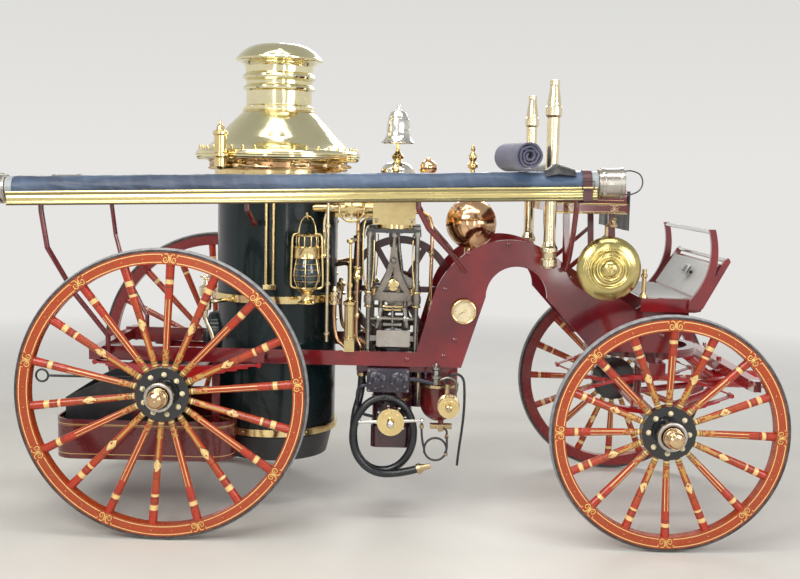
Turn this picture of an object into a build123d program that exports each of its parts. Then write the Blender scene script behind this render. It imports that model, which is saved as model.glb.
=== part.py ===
from build123d import *

import os
from math import atan2, cos, degrees, pi, radians, sin, sqrt, tan

os.makedirs("parts", exist_ok=True)

# A horse-drawn steam fire engine, in millimetres. +X is forward, +Y is the left side and
# +Z is up. The origin is on the ground under the middle of the whole length.

# Running gear
rear_axle_x = -1160
front_axle_x = 1460
rear_wheel_radius = 762
front_wheel_radius = 620
rear_spokes = 18
front_spokes = 16
felloe_mid_y = 810
felloe_width = 60
felloe_depth = 60
tyre_thickness = 22
tyre_width = 56
spoke_hub_y = 768
spoke_hub_radius = 16
spoke_rim_radius = 23
hub_inner_y = 695
hub_flange_radius = 140
hub_flange_inner_y = 735
hub_flange_outer_y = 800
hub_barrel_radius = 72
hub_barrel_end_y = 876
hub_cap_radius = 44
hub_cap_end_y = 972
axle_shoulder_y = 690
axle_arm_end_y = 930
axle_fit = 0.05
rear_axle_bar = 60
front_axle_bar = 54
rear_arm_radius = 30
front_arm_radius = 27
spring_y = 440
spring_width = 50

# Frame of two crane-neck plates
frame_inner_y = 360
frame_thickness = 25
frame_outer_y = frame_inner_y + frame_thickness
rail_bottom = 865
rail_top = 945
rail_rear_x = -1660
truck_clear_z = 975
footboard_bottom = 1214
footboard_top = 1287
footboard_half = 500
footboard_rear_x = 1350
kingpin_radius = 22

# Boiler
boiler_x = -670
shell_radius = 345
shell_bottom = 430
shell_top = 1930
drum_radius = 395
drum_top = 2015
band_bottom = 1195
band_top = 1235
fire_door_z = 965
door_ring_radius = 140
door_ring_face = -1046
door_mouth_radius = 105
door_mouth_depth = 300
door_radius = 130
door_thickness = 14
door_gap = 4
door_hinge_y = 158
door_pin_radius = 7
door_knuckle_radius = 13

# Engine and pump
engine_x = 13
cylinder_y = 215
cylinder_base = 1600
jacket_bottom = 1645
jacket_top = 1840
jacket_half_x = 118
jacket_inner_y = 90
jacket_outer_y = 340
pump_plate_bottom = 830
pump_plate_top = 865
column_xs = (-122, 144)
column_ys = (-325, -105, 105, 325)
column_radius = 13
crank_x = 50
crank_z = 1257
crank_throw = 70
flywheel_radius = 310
flywheel_width = 60
shaft_radius = 22
suction_x = 19
suction_z = 580
discharge_x = 334
discharge_z = 659
outlet_bore = 32
outlet_depth = 70
air_ball_x = 454
air_ball_z = 1650
air_ball_radius = 148

# Hose trays, which climb gently towards the front
tray_y = 650
tray_rise = 0.029
hose_axis_z = 1864
hose_radius = 62.5
tray_rear_x = -1980
tray_front_x = 1052
hose_rear_x = -1998
hose_front_x = 1067
coupling_radius = 80
front_coupling_end = 1200
rear_coupling_end = -2208
tray_dir = Vector(1, 0, tray_rise).normalized()
tray_floor_thickness = 10
tray_floor_drop = hose_radius + tray_floor_thickness
tray_low = -88
tray_high = -16
tray_half = 80
tray_wall = 10

# Driver's seat
seat_half = 460
seat_pan_bottom = 1735
seat_pan_top = 1790
seat_rear_x = 862
seat_front_x = 1270

sides = (("right", -1), ("left", 1))


def hose_z(x):
    """Height of the suction hose's middle line above the ground at a place along the engine."""
    return hose_axis_z + tray_rise * x


def tray_plane(x, side):
    """Plane square to a tray at x: its X is the engine's +Y and its Y points up."""
    return Plane(origin=(x, side * tray_y, hose_z(x)), x_dir=(0, 1, 0), z_dir=tray_dir)


def upright(y):
    """Plane of the engine's side view at y, facing the right: its X is forward, its Y is up."""
    return Plane(origin=(0, y, 0), x_dir=(1, 0, 0), z_dir=(0, -1, 0))


def level(x, y, z):
    """Plane at a point with its X forward, its Y to the left and its normal up."""
    return Plane(origin=(x, y, z), x_dir=(1, 0, 0), z_dir=(0, 0, 1))


def turned(x, y):
    """Plane of a section that is turned about the upright line at x, y: X is outward, Y is up."""
    return Plane(origin=(x, y, 0), x_dir=(1, 0, 0), z_dir=(0, -1, 0))


def upright_line(x, y):
    """The upright line at x, y."""
    return Axis((x, y, 0), (0, 0, 1))


def save(part, name):
    """Gives a finished piece its name and writes it."""
    part.label = name
    export_step(part, f"parts/{name}.step")


# Wheels: dished, each with a hub, tapered spokes and a felloe, and a tyre of its own
def make_wheel(radius, spokes, first_angle, x, side, bore):
    """One wooden wheel with its hub, standing on the ground at x on its side."""
    face = Plane(origin=(x, 0, radius), x_dir=(-side, 0, 0), z_dir=(0, side, 0))
    section = Plane(origin=(x, 0, radius), x_dir=(0, 0, 1), z_dir=(-side, 0, 0))
    felloe_outer = radius - tyre_thickness
    felloe_inner = felloe_outer - felloe_depth
    spoke_start = hub_flange_radius - 12
    spoke_end = felloe_inner + 6
    spoke_run = spoke_end - spoke_start
    dish = felloe_mid_y - spoke_hub_y
    tilt = degrees(atan2(dish, spoke_run))
    with BuildPart(face) as wheel:
        with BuildSketch(section):
            with Locations(((felloe_outer + felloe_inner) / 2, felloe_mid_y)):
                Rectangle(felloe_depth, felloe_width)
            with BuildLine():
                Polyline(
                    (0, hub_inner_y),
                    (hub_barrel_radius, hub_inner_y),
                    (hub_barrel_radius, hub_flange_inner_y),
                    (hub_flange_radius, hub_flange_inner_y),
                    (hub_flange_radius, hub_flange_outer_y),
                    (hub_barrel_radius + 6, hub_flange_outer_y),
                    (hub_barrel_radius, hub_barrel_end_y),
                    (hub_cap_radius + 5, hub_barrel_end_y),
                    (hub_cap_radius + 4, hub_cap_end_y - 56),
                    (hub_cap_radius - 2, hub_cap_end_y - 52),
                    (hub_cap_radius, hub_cap_end_y - 46),
                    (hub_cap_radius, hub_cap_end_y - 22),
                    (hub_cap_radius - 10, hub_cap_end_y - 8),
                    (hub_cap_radius - 24, hub_cap_end_y - 1),
                    (0, hub_cap_end_y),
                    close=True,
                )
            make_face()
        revolve(axis=Axis((x, 0, radius), (0, 1, 0)))
        with Locations((0, 0, (felloe_mid_y + spoke_hub_y) / 2)):
            with PolarLocations((spoke_start + spoke_end) / 2, spokes, start_angle=first_angle):
                Cone(
                    spoke_hub_radius,
                    spoke_rim_radius,
                    sqrt(spoke_run**2 + dish**2),
                    rotation=(0, 90 - tilt, 0),
                )
        with BuildSketch(face.offset(hub_inner_y)):
            Circle(bore)
        extrude(amount=axle_arm_end_y + 5 - hub_inner_y, mode=Mode.SUBTRACT)
    return wheel.part


def make_tyre(radius, x, side):
    """One solid tyre in its channel, with a crowned tread."""
    section = Plane(origin=(x, 0, radius), x_dir=(0, 0, 1), z_dir=(-side, 0, 0))
    shoulder = radius - 9
    with BuildPart() as tyre:
        with BuildSketch(section):
            with BuildLine():
                low, high = felloe_mid_y - tyre_width / 2, felloe_mid_y + tyre_width / 2
                Line((radius - tyre_thickness, low), (shoulder, low))
                ThreePointArc((shoulder, low), (radius, felloe_mid_y), (shoulder, high))
                Line((shoulder, high), (radius - tyre_thickness, high))
                Line((radius - tyre_thickness, high), (radius - tyre_thickness, low))
            make_face()
        revolve(axis=Axis((x, 0, radius), (0, 1, 0)))
    return tyre.part


wheels = (
    ("rear", rear_wheel_radius, rear_spokes, 86, rear_axle_x, rear_arm_radius),
    ("front", front_wheel_radius, front_spokes, 90, front_axle_x, front_arm_radius),
)
for end, radius, spokes, first_angle, x, arm_radius in wheels:
    for side_name, side in sides:
        wheel = make_wheel(radius, spokes, first_angle, x, side, arm_radius + axle_fit)
        save(wheel, f"{end}_wheel_{side_name}")
        save(make_tyre(radius, x, side), f"{end}_tyre_{side_name}")

# Rear axle: a square bar behind the boiler with a round arm at each end
with BuildPart() as rear_axle:
    with Locations((rear_axle_x, 0, rear_wheel_radius)):
        Box(rear_axle_bar, 2 * axle_shoulder_y, rear_axle_bar)
        Cylinder(rear_arm_radius, 2 * axle_arm_end_y, rotation=(90, 0, 0))
save(rear_axle.part, "rear_axle")

# Front axle: the same, and it is bored in the middle for the kingpin
with BuildPart() as front_axle:
    with Locations((front_axle_x, 0, front_wheel_radius)):
        Box(front_axle_bar, 2 * axle_shoulder_y, front_axle_bar)
        Cylinder(front_arm_radius, 2 * axle_arm_end_y, rotation=(90, 0, 0))
        Cylinder(kingpin_radius + 14, front_axle_bar + 20)
        Cylinder(kingpin_radius + axle_fit, front_axle_bar + 30, mode=Mode.SUBTRACT)
save(front_axle.part, "front_axle")


# Rear springs: one half-elliptic pack on each side, on the axle and under the rail's brackets
rear_spring_half = 450
rear_spring_eye_z = 866
rear_spring_eye_radius = 14
rear_spring_bottom = rear_wheel_radius + rear_axle_bar / 2
rear_leaves = (450, 390, 330, 262, 196, 130)
rear_leaf = 10
with BuildPart() as rear_springs:
    for side_name, side in sides:
        rear_end = rear_axle_x - rear_spring_half
        front_end = rear_axle_x + rear_spring_half
        with BuildSketch(upright(side * spring_y - spring_width / 2)):
            for k, half in enumerate(rear_leaves):
                mid = rear_spring_bottom + rear_leaf * (len(rear_leaves) - k)
                end = mid + (rear_spring_eye_z - rear_spring_bottom - 55) * (half / rear_spring_half) ** 2
                with BuildLine():
                    back, front = rear_axle_x - half, rear_axle_x + half
                    ThreePointArc((back, end), (rear_axle_x, mid), (front, end))
                    Line((front, end), (front, end - rear_leaf))
                    ThreePointArc((front, end - rear_leaf), (rear_axle_x, mid - rear_leaf), (back, end - rear_leaf))
                    Line((back, end - rear_leaf), (back, end))
                make_face()
            with Locations((rear_end, rear_spring_eye_z), (front_end, rear_spring_eye_z)):
                Circle(rear_spring_eye_radius)
        extrude(amount=-spring_width)
save(rear_springs.part, "rear_springs")

# Front springs: a full-elliptic one on each side, between the axle and the bolster
front_spring_half = 415
front_spring_bottom = front_wheel_radius + front_axle_bar / 2
front_spring_top = 865
front_spring_mid = (front_spring_bottom + front_spring_top) / 2
front_leaves = (415, 352, 280, 200)
front_leaf = 6
with BuildPart() as front_springs:
    for side_name, side in sides:
        with BuildSketch(upright(side * spring_y - spring_width / 2)):
            for k, half in enumerate(front_leaves):
                step = front_leaf * (len(front_leaves) - k)
                rise = (front_spring_mid - front_spring_bottom - front_leaf * len(front_leaves)) * (
                    half / front_spring_half
                ) ** 2
                back, front = front_axle_x - half, front_axle_x + half
                for way, start in ((1, front_spring_bottom), (-1, front_spring_top)):
                    mid = start + way * step
                    end = mid + way * rise
                    low_mid, low_end = mid - way * front_leaf, end - way * front_leaf
                    with BuildLine():
                        ThreePointArc((back, end), (front_axle_x, mid), (front, end))
                        Line((front, end), (front, low_end))
                        ThreePointArc((front, low_end), (front_axle_x, low_mid), (back, low_end))
                        Line((back, low_end), (back, end))
                    make_face()
            for end in (-front_spring_half, front_spring_half):
                with Locations((front_axle_x + end, front_spring_mid)):
                    Circle(13)
        extrude(amount=-spring_width)
save(front_springs.part, "front_springs")

# Turntable: the bolster on the springs and the lower fifth-wheel ring, bored for the kingpin
ring_outer = 320
ring_inner = 268
ring_thickness = 22
ring_gap = 1
lower_ring_top = truck_clear_z - ring_thickness - ring_gap
bolster_top = lower_ring_top - ring_thickness
with BuildPart() as turntable:
    with BuildSketch(level(front_axle_x, 0, front_spring_top)):
        Rectangle(90, 2 * (spring_y + 35))
    extrude(amount=bolster_top - front_spring_top)
    with BuildSketch(level(front_axle_x, 0, lower_ring_top - ring_thickness)):
        Circle(ring_outer)
        Circle(ring_inner, mode=Mode.SUBTRACT)
        Rectangle(2 * ring_inner + 20, 60)
        Rectangle(60, 2 * ring_inner + 20)
    extrude(amount=ring_thickness)
    with BuildSketch(level(front_axle_x, 0, front_spring_top)):
        Circle(kingpin_radius + axle_fit)
    extrude(amount=lower_ring_top - front_spring_top, mode=Mode.SUBTRACT)
save(turntable.part, "turntable")

# Hounds: two lower bars that rise from the axle and two upper ones that fall from the ring,
# meeting at the pole socket, which carries the doubletree's pin
socket_z = 770
socket_rear_x = 1850
socket_front_x = 2208
socket_radius = 52
socket_bore = 42
socket_depth = 220
hound_radius = 20
draft_x = 1930
draft_bottom = 829
draft_top = 886
draft_pin_radius = 14
with BuildPart() as hounds:
    axle_front = front_axle_x + front_axle_bar / 2
    for side_name, side in sides:
        for start, end in (
            ((axle_front - 8, side * 300, front_wheel_radius), (1800, side * 150, 700)),
            ((1800, side * 150, 700), (1960, side * 35, socket_z - 8)),
            ((1728, side * 110, bolster_top - 22), (1872, side * 34, socket_z + 22)),
        ):
            run = Vector(*end) - Vector(*start)
            with BuildSketch(Plane(origin=start, z_dir=run)):
                Circle(hound_radius)
            extrude(amount=run.length)
            with Locations(end):
                Sphere(hound_radius)
        with Locations((1720, side * 110, bolster_top - 15)):
            Box(54, 44, 30)
    with BuildSketch(Plane(origin=(socket_rear_x, 0, socket_z), z_dir=(1, 0, 0))):
        Circle(socket_radius)
    extrude(amount=socket_front_x - socket_rear_x)
    with BuildSketch(level(draft_x, 0, socket_z)):
        Circle(32)
    extrude(amount=draft_bottom - 2 - socket_z)
    with BuildSketch(level(draft_x, 0, socket_z)):
        Circle(draft_pin_radius)
    extrude(amount=draft_top + 14 - socket_z)
    with BuildSketch(Plane(origin=(socket_front_x, 0, socket_z), z_dir=(1, 0, 0))):
        Circle(socket_bore)
    extrude(amount=-socket_depth, mode=Mode.SUBTRACT)
    add(front_axle.part, mode=Mode.SUBTRACT)
save(hounds.part, "hounds")

# Doubletree: the long draft bar, free on its pin, with a hook at each end
draft_half = 710
hook_y = 640
with BuildPart() as doubletree:
    with BuildSketch(level(draft_x, 0, draft_bottom)):
        with BuildLine():
            Polyline(
                (-38, 0),
                (-30, draft_half - 60),
                (-20, draft_half),
                (20, draft_half),
                (26, draft_half - 60),
                (34, 0),
            )
            mirror(about=Plane.XZ)
        make_face()
    extrude(amount=draft_top - draft_bottom)
    with BuildSketch(level(draft_x, 0, draft_bottom)):
        Circle(draft_pin_radius + axle_fit)
    extrude(amount=draft_top - draft_bottom, mode=Mode.SUBTRACT)
    for side_name, side in sides:
        with BuildSketch(Plane(origin=(draft_x + 20, side * hook_y, 857), z_dir=(1, 0, 0))):
            Circle(9)
        extrude(amount=70)
        with Locations((draft_x + 90, side * hook_y, 868)):
            Box(18, 18, 40)
save(doubletree.part, "doubletree")

# Crane-neck plates: a straight rail beside the boiler, then an arch that the front wheels
# turn under, then a leg down to the turntable and out to the footboard
plate_front_x = 1640
with BuildSketch(Plane.XZ) as crane_outline:
    with BuildLine():
        Polyline((150, rail_top), (rail_rear_x, rail_top), (rail_rear_x, rail_bottom), (400, rail_bottom))
        Line((150, rail_top), (232, 1235))
        ThreePointArc((232, 1235), (372, 1470), (640, 1578))
        ThreePointArc((640, 1578), (800, 1550), (935, 1464))
        Line((935, 1464), (footboard_rear_x, footboard_bottom))
        Polyline(
            (footboard_rear_x, footboard_bottom),
            (plate_front_x, footboard_bottom),
            (plate_front_x, 1150),
            (1560, truck_clear_z),
            (1122, truck_clear_z),
            (860, 1262),
        )
        ThreePointArc((860, 1262), (700, 1432), (525, 1262))
        Line((525, 1262), (400, rail_bottom))
    make_face()
spring_bracket_length = 60
for side_name, side in sides:
    with BuildPart() as crane_neck:
        with BuildSketch(upright(side * frame_inner_y)):
            add(crane_outline.sketch.rotate(Axis.X, -90))
        extrude(amount=-side * frame_thickness)
        for x in (rear_axle_x - rear_spring_half, rear_axle_x + rear_spring_half):
            with Locations((x, side * (frame_outer_y + spring_y + spring_width / 2) / 2, 912.5)):
                Box(spring_bracket_length, spring_y + spring_width / 2 - frame_outer_y, 65)
    save(crane_neck.part, f"crane_neck_{side_name}")

# Cross members between the two plates: the rear bar, the boiler's side brackets, the pump
# plate's bearer, and the front transoms with the upper fifth-wheel ring and the kingpin
with BuildPart() as frame_cross_members:
    with Locations((rail_rear_x + 30, 0, (rail_bottom + rail_top) / 2)):
        Box(50, 2 * frame_inner_y, 60)
    for side_name, side in sides:
        with Locations((boiler_x, side * 345, (rail_bottom + rail_top) / 2)):
            Box(180, 30, 70)
    with BuildSketch(level(boiler_x, 0, rail_bottom)):
        Circle(shell_radius)
    extrude(amount=rail_top - rail_bottom, mode=Mode.SUBTRACT)
    for x, length in ((1230, 70), (front_axle_x, 150)):
        with BuildSketch(level(x, 0, truck_clear_z)):
            Rectangle(length, 2 * frame_inner_y)
        extrude(amount=80)
    with BuildSketch(level(front_axle_x, 0, truck_clear_z)):
        Circle(ring_outer)
        Circle(ring_inner, mode=Mode.SUBTRACT)
    extrude(amount=-ring_thickness)
    with BuildSketch(level(front_axle_x, 0, front_wheel_radius - front_axle_bar / 2 - 30)):
        Circle(kingpin_radius)
    extrude(amount=truck_clear_z + 40 - (front_wheel_radius - front_axle_bar / 2 - 30))
save(frame_cross_members.part, "frame_cross_members")

# Boiler: the firebox and shell, the drum under the dome, and the mouth of the fire door
shell_plane = turned(boiler_x, 0)
boiler_line = upright_line(boiler_x, 0)
with BuildPart() as boiler_shell:
    with BuildSketch(level(boiler_x, 0, shell_bottom)):
        Circle(shell_radius)
    extrude(amount=shell_top - shell_bottom)
    with BuildSketch(level(boiler_x, 0, shell_top)):
        Circle(drum_radius)
    extrude(amount=drum_top - shell_top)
    mouth = Plane(origin=(boiler_x - 200, 0, fire_door_z), x_dir=(0, 1, 0), z_dir=(-1, 0, 0))
    with BuildSketch(mouth):
        Circle(door_ring_radius)
    extrude(amount=boiler_x - 200 - door_ring_face)
    for z in (fire_door_z - 52, fire_door_z + 52):
        with Locations((door_ring_face + 25, door_hinge_y - 22, z)):
            Box(50, 72, 20)
    door_pin_x = door_ring_face - door_gap - door_thickness / 2
    for z in (fire_door_z - 52, fire_door_z + 52):
        with Locations((door_pin_x, door_hinge_y, z)):
            Cylinder(door_knuckle_radius, 20)
        with Locations(((door_pin_x + door_ring_face) / 2, door_hinge_y, z)):
            Box(abs(door_pin_x - door_ring_face), 2 * door_knuckle_radius, 20)
    with Locations((door_pin_x, door_hinge_y, fire_door_z)):
        Cylinder(door_pin_radius, 124)
    with BuildSketch(Plane(origin=(door_ring_face, 0, fire_door_z), z_dir=(1, 0, 0))):
        Circle(door_mouth_radius)
    extrude(amount=door_mouth_depth, mode=Mode.SUBTRACT)
save(boiler_shell.part, "boiler_shell")

# Polished bands round the shell: under the drum, at the joint and at the foot
with BuildPart() as boiler_bands:
    for low, high, out in ((band_bottom, band_top, 27), (1895, shell_top, 20), (440, 480, 14)):
        with BuildSketch(level(boiler_x, 0, low)):
            Circle(shell_radius + out)
            Circle(shell_radius, mode=Mode.SUBTRACT)
        extrude(amount=high - low)
save(boiler_bands.part, "boiler_bands")

# Fire door: a round plate with its knuckle on the ring's pin
with BuildPart() as fire_door:
    door_face = Plane(
        origin=(door_ring_face - door_gap, 0, fire_door_z), x_dir=(0, 1, 0), z_dir=(-1, 0, 0)
    )
    with BuildSketch(door_face):
        Circle(door_radius)
        with Locations((door_hinge_y / 2 + 30, 0)):
            Rectangle(door_hinge_y - 60, 70)
    extrude(amount=door_thickness)
    with Locations((door_pin_x, door_hinge_y, fire_door_z)):
        Cylinder(door_knuckle_radius, 70)
        Cylinder(door_pin_radius + axle_fit, 70, mode=Mode.SUBTRACT)
    with Locations((door_ring_face - door_gap - door_thickness - 14, -door_radius + 34, fire_door_z)):
        Cylinder(9, 28, rotation=(0, 90, 0))
        Box(14, 20, 70)
save(fire_door.part, "fire_door")

# Ash pan: a tapered drum under the firebox, open at the rear
ash_pan_bottom = 292
with BuildPart() as ash_pan:
    with BuildSketch(turned(boiler_x, 0)):
        with BuildLine():
            Polyline(
                (0, ash_pan_bottom),
                (300, ash_pan_bottom),
                (332, shell_bottom),
                (0, shell_bottom),
                close=True,
            )
        make_face()
    revolve(axis=boiler_line)
    with Locations((boiler_x - 250, 0, ash_pan_bottom + 68)):
        Box(260, 300, 76, mode=Mode.SUBTRACT)
save(ash_pan.part, "ash_pan")

# Dome over the boiler: a bell-shaped cover, from the drum up to the stack's foot
neck_radius = 188
with BuildPart() as boiler_dome:
    with BuildSketch(turned(boiler_x, 0)):
        with BuildLine():
            Polyline((0, drum_top), (drum_radius + 2, drum_top), (drum_radius + 2, 1984), (446, 1984))
            ThreePointArc((446, 1984), (466, 1992), (471, 2014))
            ThreePointArc((471, 2014), (468, 2034), (453, 2046))
            ThreePointArc((453, 2046), (394, 2074), (350, 2112))
            ThreePointArc((350, 2112), (274, 2196), (206, 2262))
            Polyline((206, 2262), (206, 2280), (0, 2280), (0, drum_top))
        make_face()
    revolve(axis=boiler_line)
save(boiler_dome.part, "boiler_dome")

# Stack: a neck with two ring mouldings under a wide domed cap, open down its middle
with BuildPart() as smoke_stack:
    with BuildSketch(turned(boiler_x, 0)):
        with BuildLine():
            Polyline(
                (110, 2280),
                (neck_radius + 8, 2280),
                (neck_radius + 8, 2292),
                (neck_radius, 2300),
                (neck_radius, 2378),
                (neck_radius + 15, 2386),
                (neck_radius + 18, 2396),
                (neck_radius + 12, 2406),
                (neck_radius, 2416),
                (neck_radius, 2434),
                (neck_radius + 18, 2446),
                (neck_radius + 22, 2458),
                (neck_radius + 16, 2470),
                (neck_radius + 4, 2482),
                (neck_radius + 6, 2516),
            )
            ThreePointArc((neck_radius + 6, 2516), (212, 2536), (240, 2544))
            ThreePointArc((240, 2544), (248, 2553), (242, 2566))
            ThreePointArc((242, 2566), (196, 2612), (134, 2640))
            Polyline((134, 2640), (122, 2640), (110, 2626), (110, 2280))
        make_face()
    revolve(axis=boiler_line)
save(smoke_stack.part, "smoke_stack")

# Steam engine: two upright cylinders in square jackets with the steam chest between them,
# held to the boiler by a bracket
lubricator_x = 196
with BuildPart() as steam_cylinders:
    for side_name, side in sides:
        jacket_y = side * (jacket_inner_y + jacket_outer_y) / 2
        jacket_depth = jacket_outer_y - jacket_inner_y
        with BuildSketch(level(engine_x, jacket_y, cylinder_base)):
            Rectangle(2 * jacket_half_x + 64, jacket_depth)
        extrude(amount=22)
        with BuildSketch(level(engine_x, jacket_y, cylinder_base)):
            Circle(100)
        extrude(amount=jacket_top + 14 - cylinder_base)
        with BuildSketch(level(engine_x, jacket_y, jacket_bottom)):
            Rectangle(2 * jacket_half_x, jacket_depth)
        extrude(amount=jacket_top - jacket_bottom)
        with Locations((engine_x, jacket_y, jacket_top + 14)):
            Cone(84, 30, 40, align=(Align.CENTER, Align.CENTER, Align.MIN))
        # lubricator: a pipe out of the jacket's front face, up to a copper bulb
        with BuildSketch(Plane(origin=(engine_x + 90, side * 200, 1790), z_dir=(1, 0, 0))):
            Circle(11)
        extrude(amount=lubricator_x - engine_x - 79)
        with BuildSketch(turned(lubricator_x, side * 200)):
            with BuildLine():
                Polyline((0, 1784), (11, 1784), (11, 1902), (20, 1908), (20, 1918), (28, 1926))
                ThreePointArc((28, 1926), (48, 1962), (22, 2002))
                Polyline((22, 2002), (14, 2008), (14, 2016), (0, 2020), (0, 1784))
            make_face()
        revolve(axis=upright_line(lubricator_x, side * 200))
    with BuildSketch(level(engine_x, 0, jacket_bottom + 15)):
        Rectangle(220, 2 * jacket_inner_y)
    extrude(amount=jacket_top - jacket_bottom - 35)
    with BuildSketch(level((boiler_x + engine_x) / 2, 0, jacket_bottom + 25)):
        Rectangle(engine_x - boiler_x, 150)
    extrude(amount=110)
    with BuildSketch(level(boiler_x, 0, jacket_bottom)):
        Circle(shell_radius)
    extrude(amount=200, mode=Mode.SUBTRACT)
save(steam_cylinders.part, "steam_cylinders")

# Columns from the pump plate to the cylinders, with the crankshaft's bearing bars
with BuildPart() as engine_columns:
    for x in column_xs:
        for y in column_ys:
            with BuildSketch(level(x, y, pump_plate_top)):
                Circle(column_radius)
            extrude(amount=cylinder_base - pump_plate_top)
            for foot, height in ((pump_plate_top, 24), (cylinder_base - 20, 20)):
                with BuildSketch(level(x, y, foot)):
                    Circle(column_radius + 8)
                extrude(amount=height)
    bar_length = column_xs[1] - column_xs[0]
    for y in (-105, 105):
        with Locations(((column_xs[0] + column_xs[1]) / 2, y, crank_z)):
            Box(bar_length, 20, 44)
        with Locations((crank_x, y, crank_z)):
            Cylinder(40, 22, rotation=(90, 0, 0))
            Cylinder(shaft_radius, 40, rotation=(90, 0, 0), mode=Mode.SUBTRACT)
    for side_name, side in sides:
        with Locations(((column_xs[0] + column_xs[1]) / 2, side * 325, 1012)):
            Box(bar_length, 12, 30)
        with BuildSketch(Plane(origin=(20, side * 330, 1012), x_dir=(1, 0, 0), z_dir=(0, side, 0))):
            RectangleRounded(187, 92, 10)
        extrude(amount=9)
save(engine_columns.part, "engine_columns")

# Flywheel with its shaft, and a crank disc and pin at each end
with BuildPart() as flywheel:
    wheel_face = Plane(origin=(crank_x, 0, crank_z), x_dir=(1, 0, 0), z_dir=(0, -1, 0))
    with BuildSketch(wheel_face.offset(-flywheel_width / 2)):
        Circle(flywheel_radius)
        Circle(flywheel_radius - 42, mode=Mode.SUBTRACT)
    extrude(amount=flywheel_width)
    with BuildSketch(wheel_face.offset(-15)):
        with PolarLocations((flywheel_radius - 40) / 2 + 15, 6):
            Rectangle(flywheel_radius - 60, 34)
        Circle(52)
    extrude(amount=30)
    with Locations((crank_x, 0, crank_z)):
        Cylinder(shaft_radius, 300, rotation=(90, 0, 0))
    for side_name, side in sides:
        with Locations((crank_x, side * 140, crank_z)):
            Cylinder(98, 24, rotation=(90, 0, 0))
        with Locations((crank_x, side * 168, crank_z - crank_throw)):
            Cylinder(15, 34, rotation=(90, 0, 0))
save(flywheel.part, "flywheel")

# Crossheads: a bar on each side that slides on the outer columns, the hollow-sided yoke on it
# with its piston rod, the pump rods below and the connecting rod on its inner face
yoke_half = 15
guide_low = 1212
guide_high = 1250
with BuildPart() as crossheads:
    for side_name, side in sides:
        with BuildSketch(upright(side * cylinder_y)):
            with BuildLine():
                Line((engine_x - 98, guide_low), (engine_x + 98, guide_low))
                Line((engine_x + 98, guide_low), (engine_x + 98, guide_high + 8))
                ThreePointArc((engine_x + 98, guide_high + 8), (engine_x + 42, 1372), (engine_x + 18, 1526))
                Line((engine_x + 18, 1526), (engine_x - 18, 1526))
                ThreePointArc((engine_x - 18, 1526), (engine_x - 42, 1372), (engine_x - 98, guide_high + 8))
                Line((engine_x - 98, guide_high + 8), (engine_x - 98, guide_low))
            make_face()
            with BuildLine():
                Line((engine_x - 62, guide_high + 8), (engine_x + 62, guide_high + 8))
                ThreePointArc((engine_x + 62, guide_high + 8), (engine_x + 22, 1330), (engine_x, 1398))
                ThreePointArc((engine_x, 1398), (engine_x - 22, 1330), (engine_x - 62, guide_high + 8))
            make_face(mode=Mode.SUBTRACT)
        extrude(amount=yoke_half, both=True)
        column_mid = (column_xs[0] + column_xs[1]) / 2
        with BuildSketch(level(0, 0, guide_low)):
            with Locations((column_mid, side * cylinder_y)):
                Rectangle(column_xs[1] - column_xs[0] + 40, 2 * yoke_half)
            for x in column_xs:
                with Locations((x, side * (cylinder_y + 325) / 2)):
                    Rectangle(34, 325 - cylinder_y + 20)
                with Locations((x, side * 325)):
                    Circle(26)
                    Circle(column_radius + 0.5, mode=Mode.SUBTRACT)
        extrude(amount=guide_high - guide_low)
        for x in column_xs:
            with BuildSketch(level(x, side * 325, guide_low - 14)):
                Circle(21)
                Circle(column_radius + 0.5, mode=Mode.SUBTRACT)
            extrude(amount=guide_high - guide_low + 28)
        with BuildSketch(level(engine_x, side * cylinder_y, 1516)):
            Circle(14)
        extrude(amount=cylinder_base - 1516)
        with BuildSketch(level(engine_x, side * cylinder_y, 1516)):
            Circle(24)
        extrude(amount=18)
        for x in (engine_x - 70, engine_x + 70):
            with BuildSketch(level(x, side * cylinder_y, pump_plate_top)):
                Circle(13)
            extrude(amount=guide_low + 5 - pump_plate_top)
        rod_y = side * (cylinder_y - yoke_half - 8)
        with BuildSketch(upright(rod_y)):
            with Locations((crank_x, crank_z - crank_throw)):
                Circle(28)
            with Locations((engine_x, 1440)):
                Circle(24)
            with BuildLine():
                Polyline(
                    (crank_x - 14, crank_z - crank_throw),
                    (engine_x - 10, 1440),
                    (engine_x + 10, 1440),
                    (crank_x + 14, crank_z - crank_throw),
                    close=True,
                )
            make_face()
            with Locations((crank_x, crank_z - crank_throw)):
                Circle(15, mode=Mode.SUBTRACT)
        extrude(amount=8, both=True)
save(crossheads.part, "crossheads")

chamber_x = 285
chamber_y = 205
chamber_radius = 105
prime_x, prime_y, prime_z = -150, -330, 800
jet_x, jet_y, jet_z = 325, -405, 775

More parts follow.
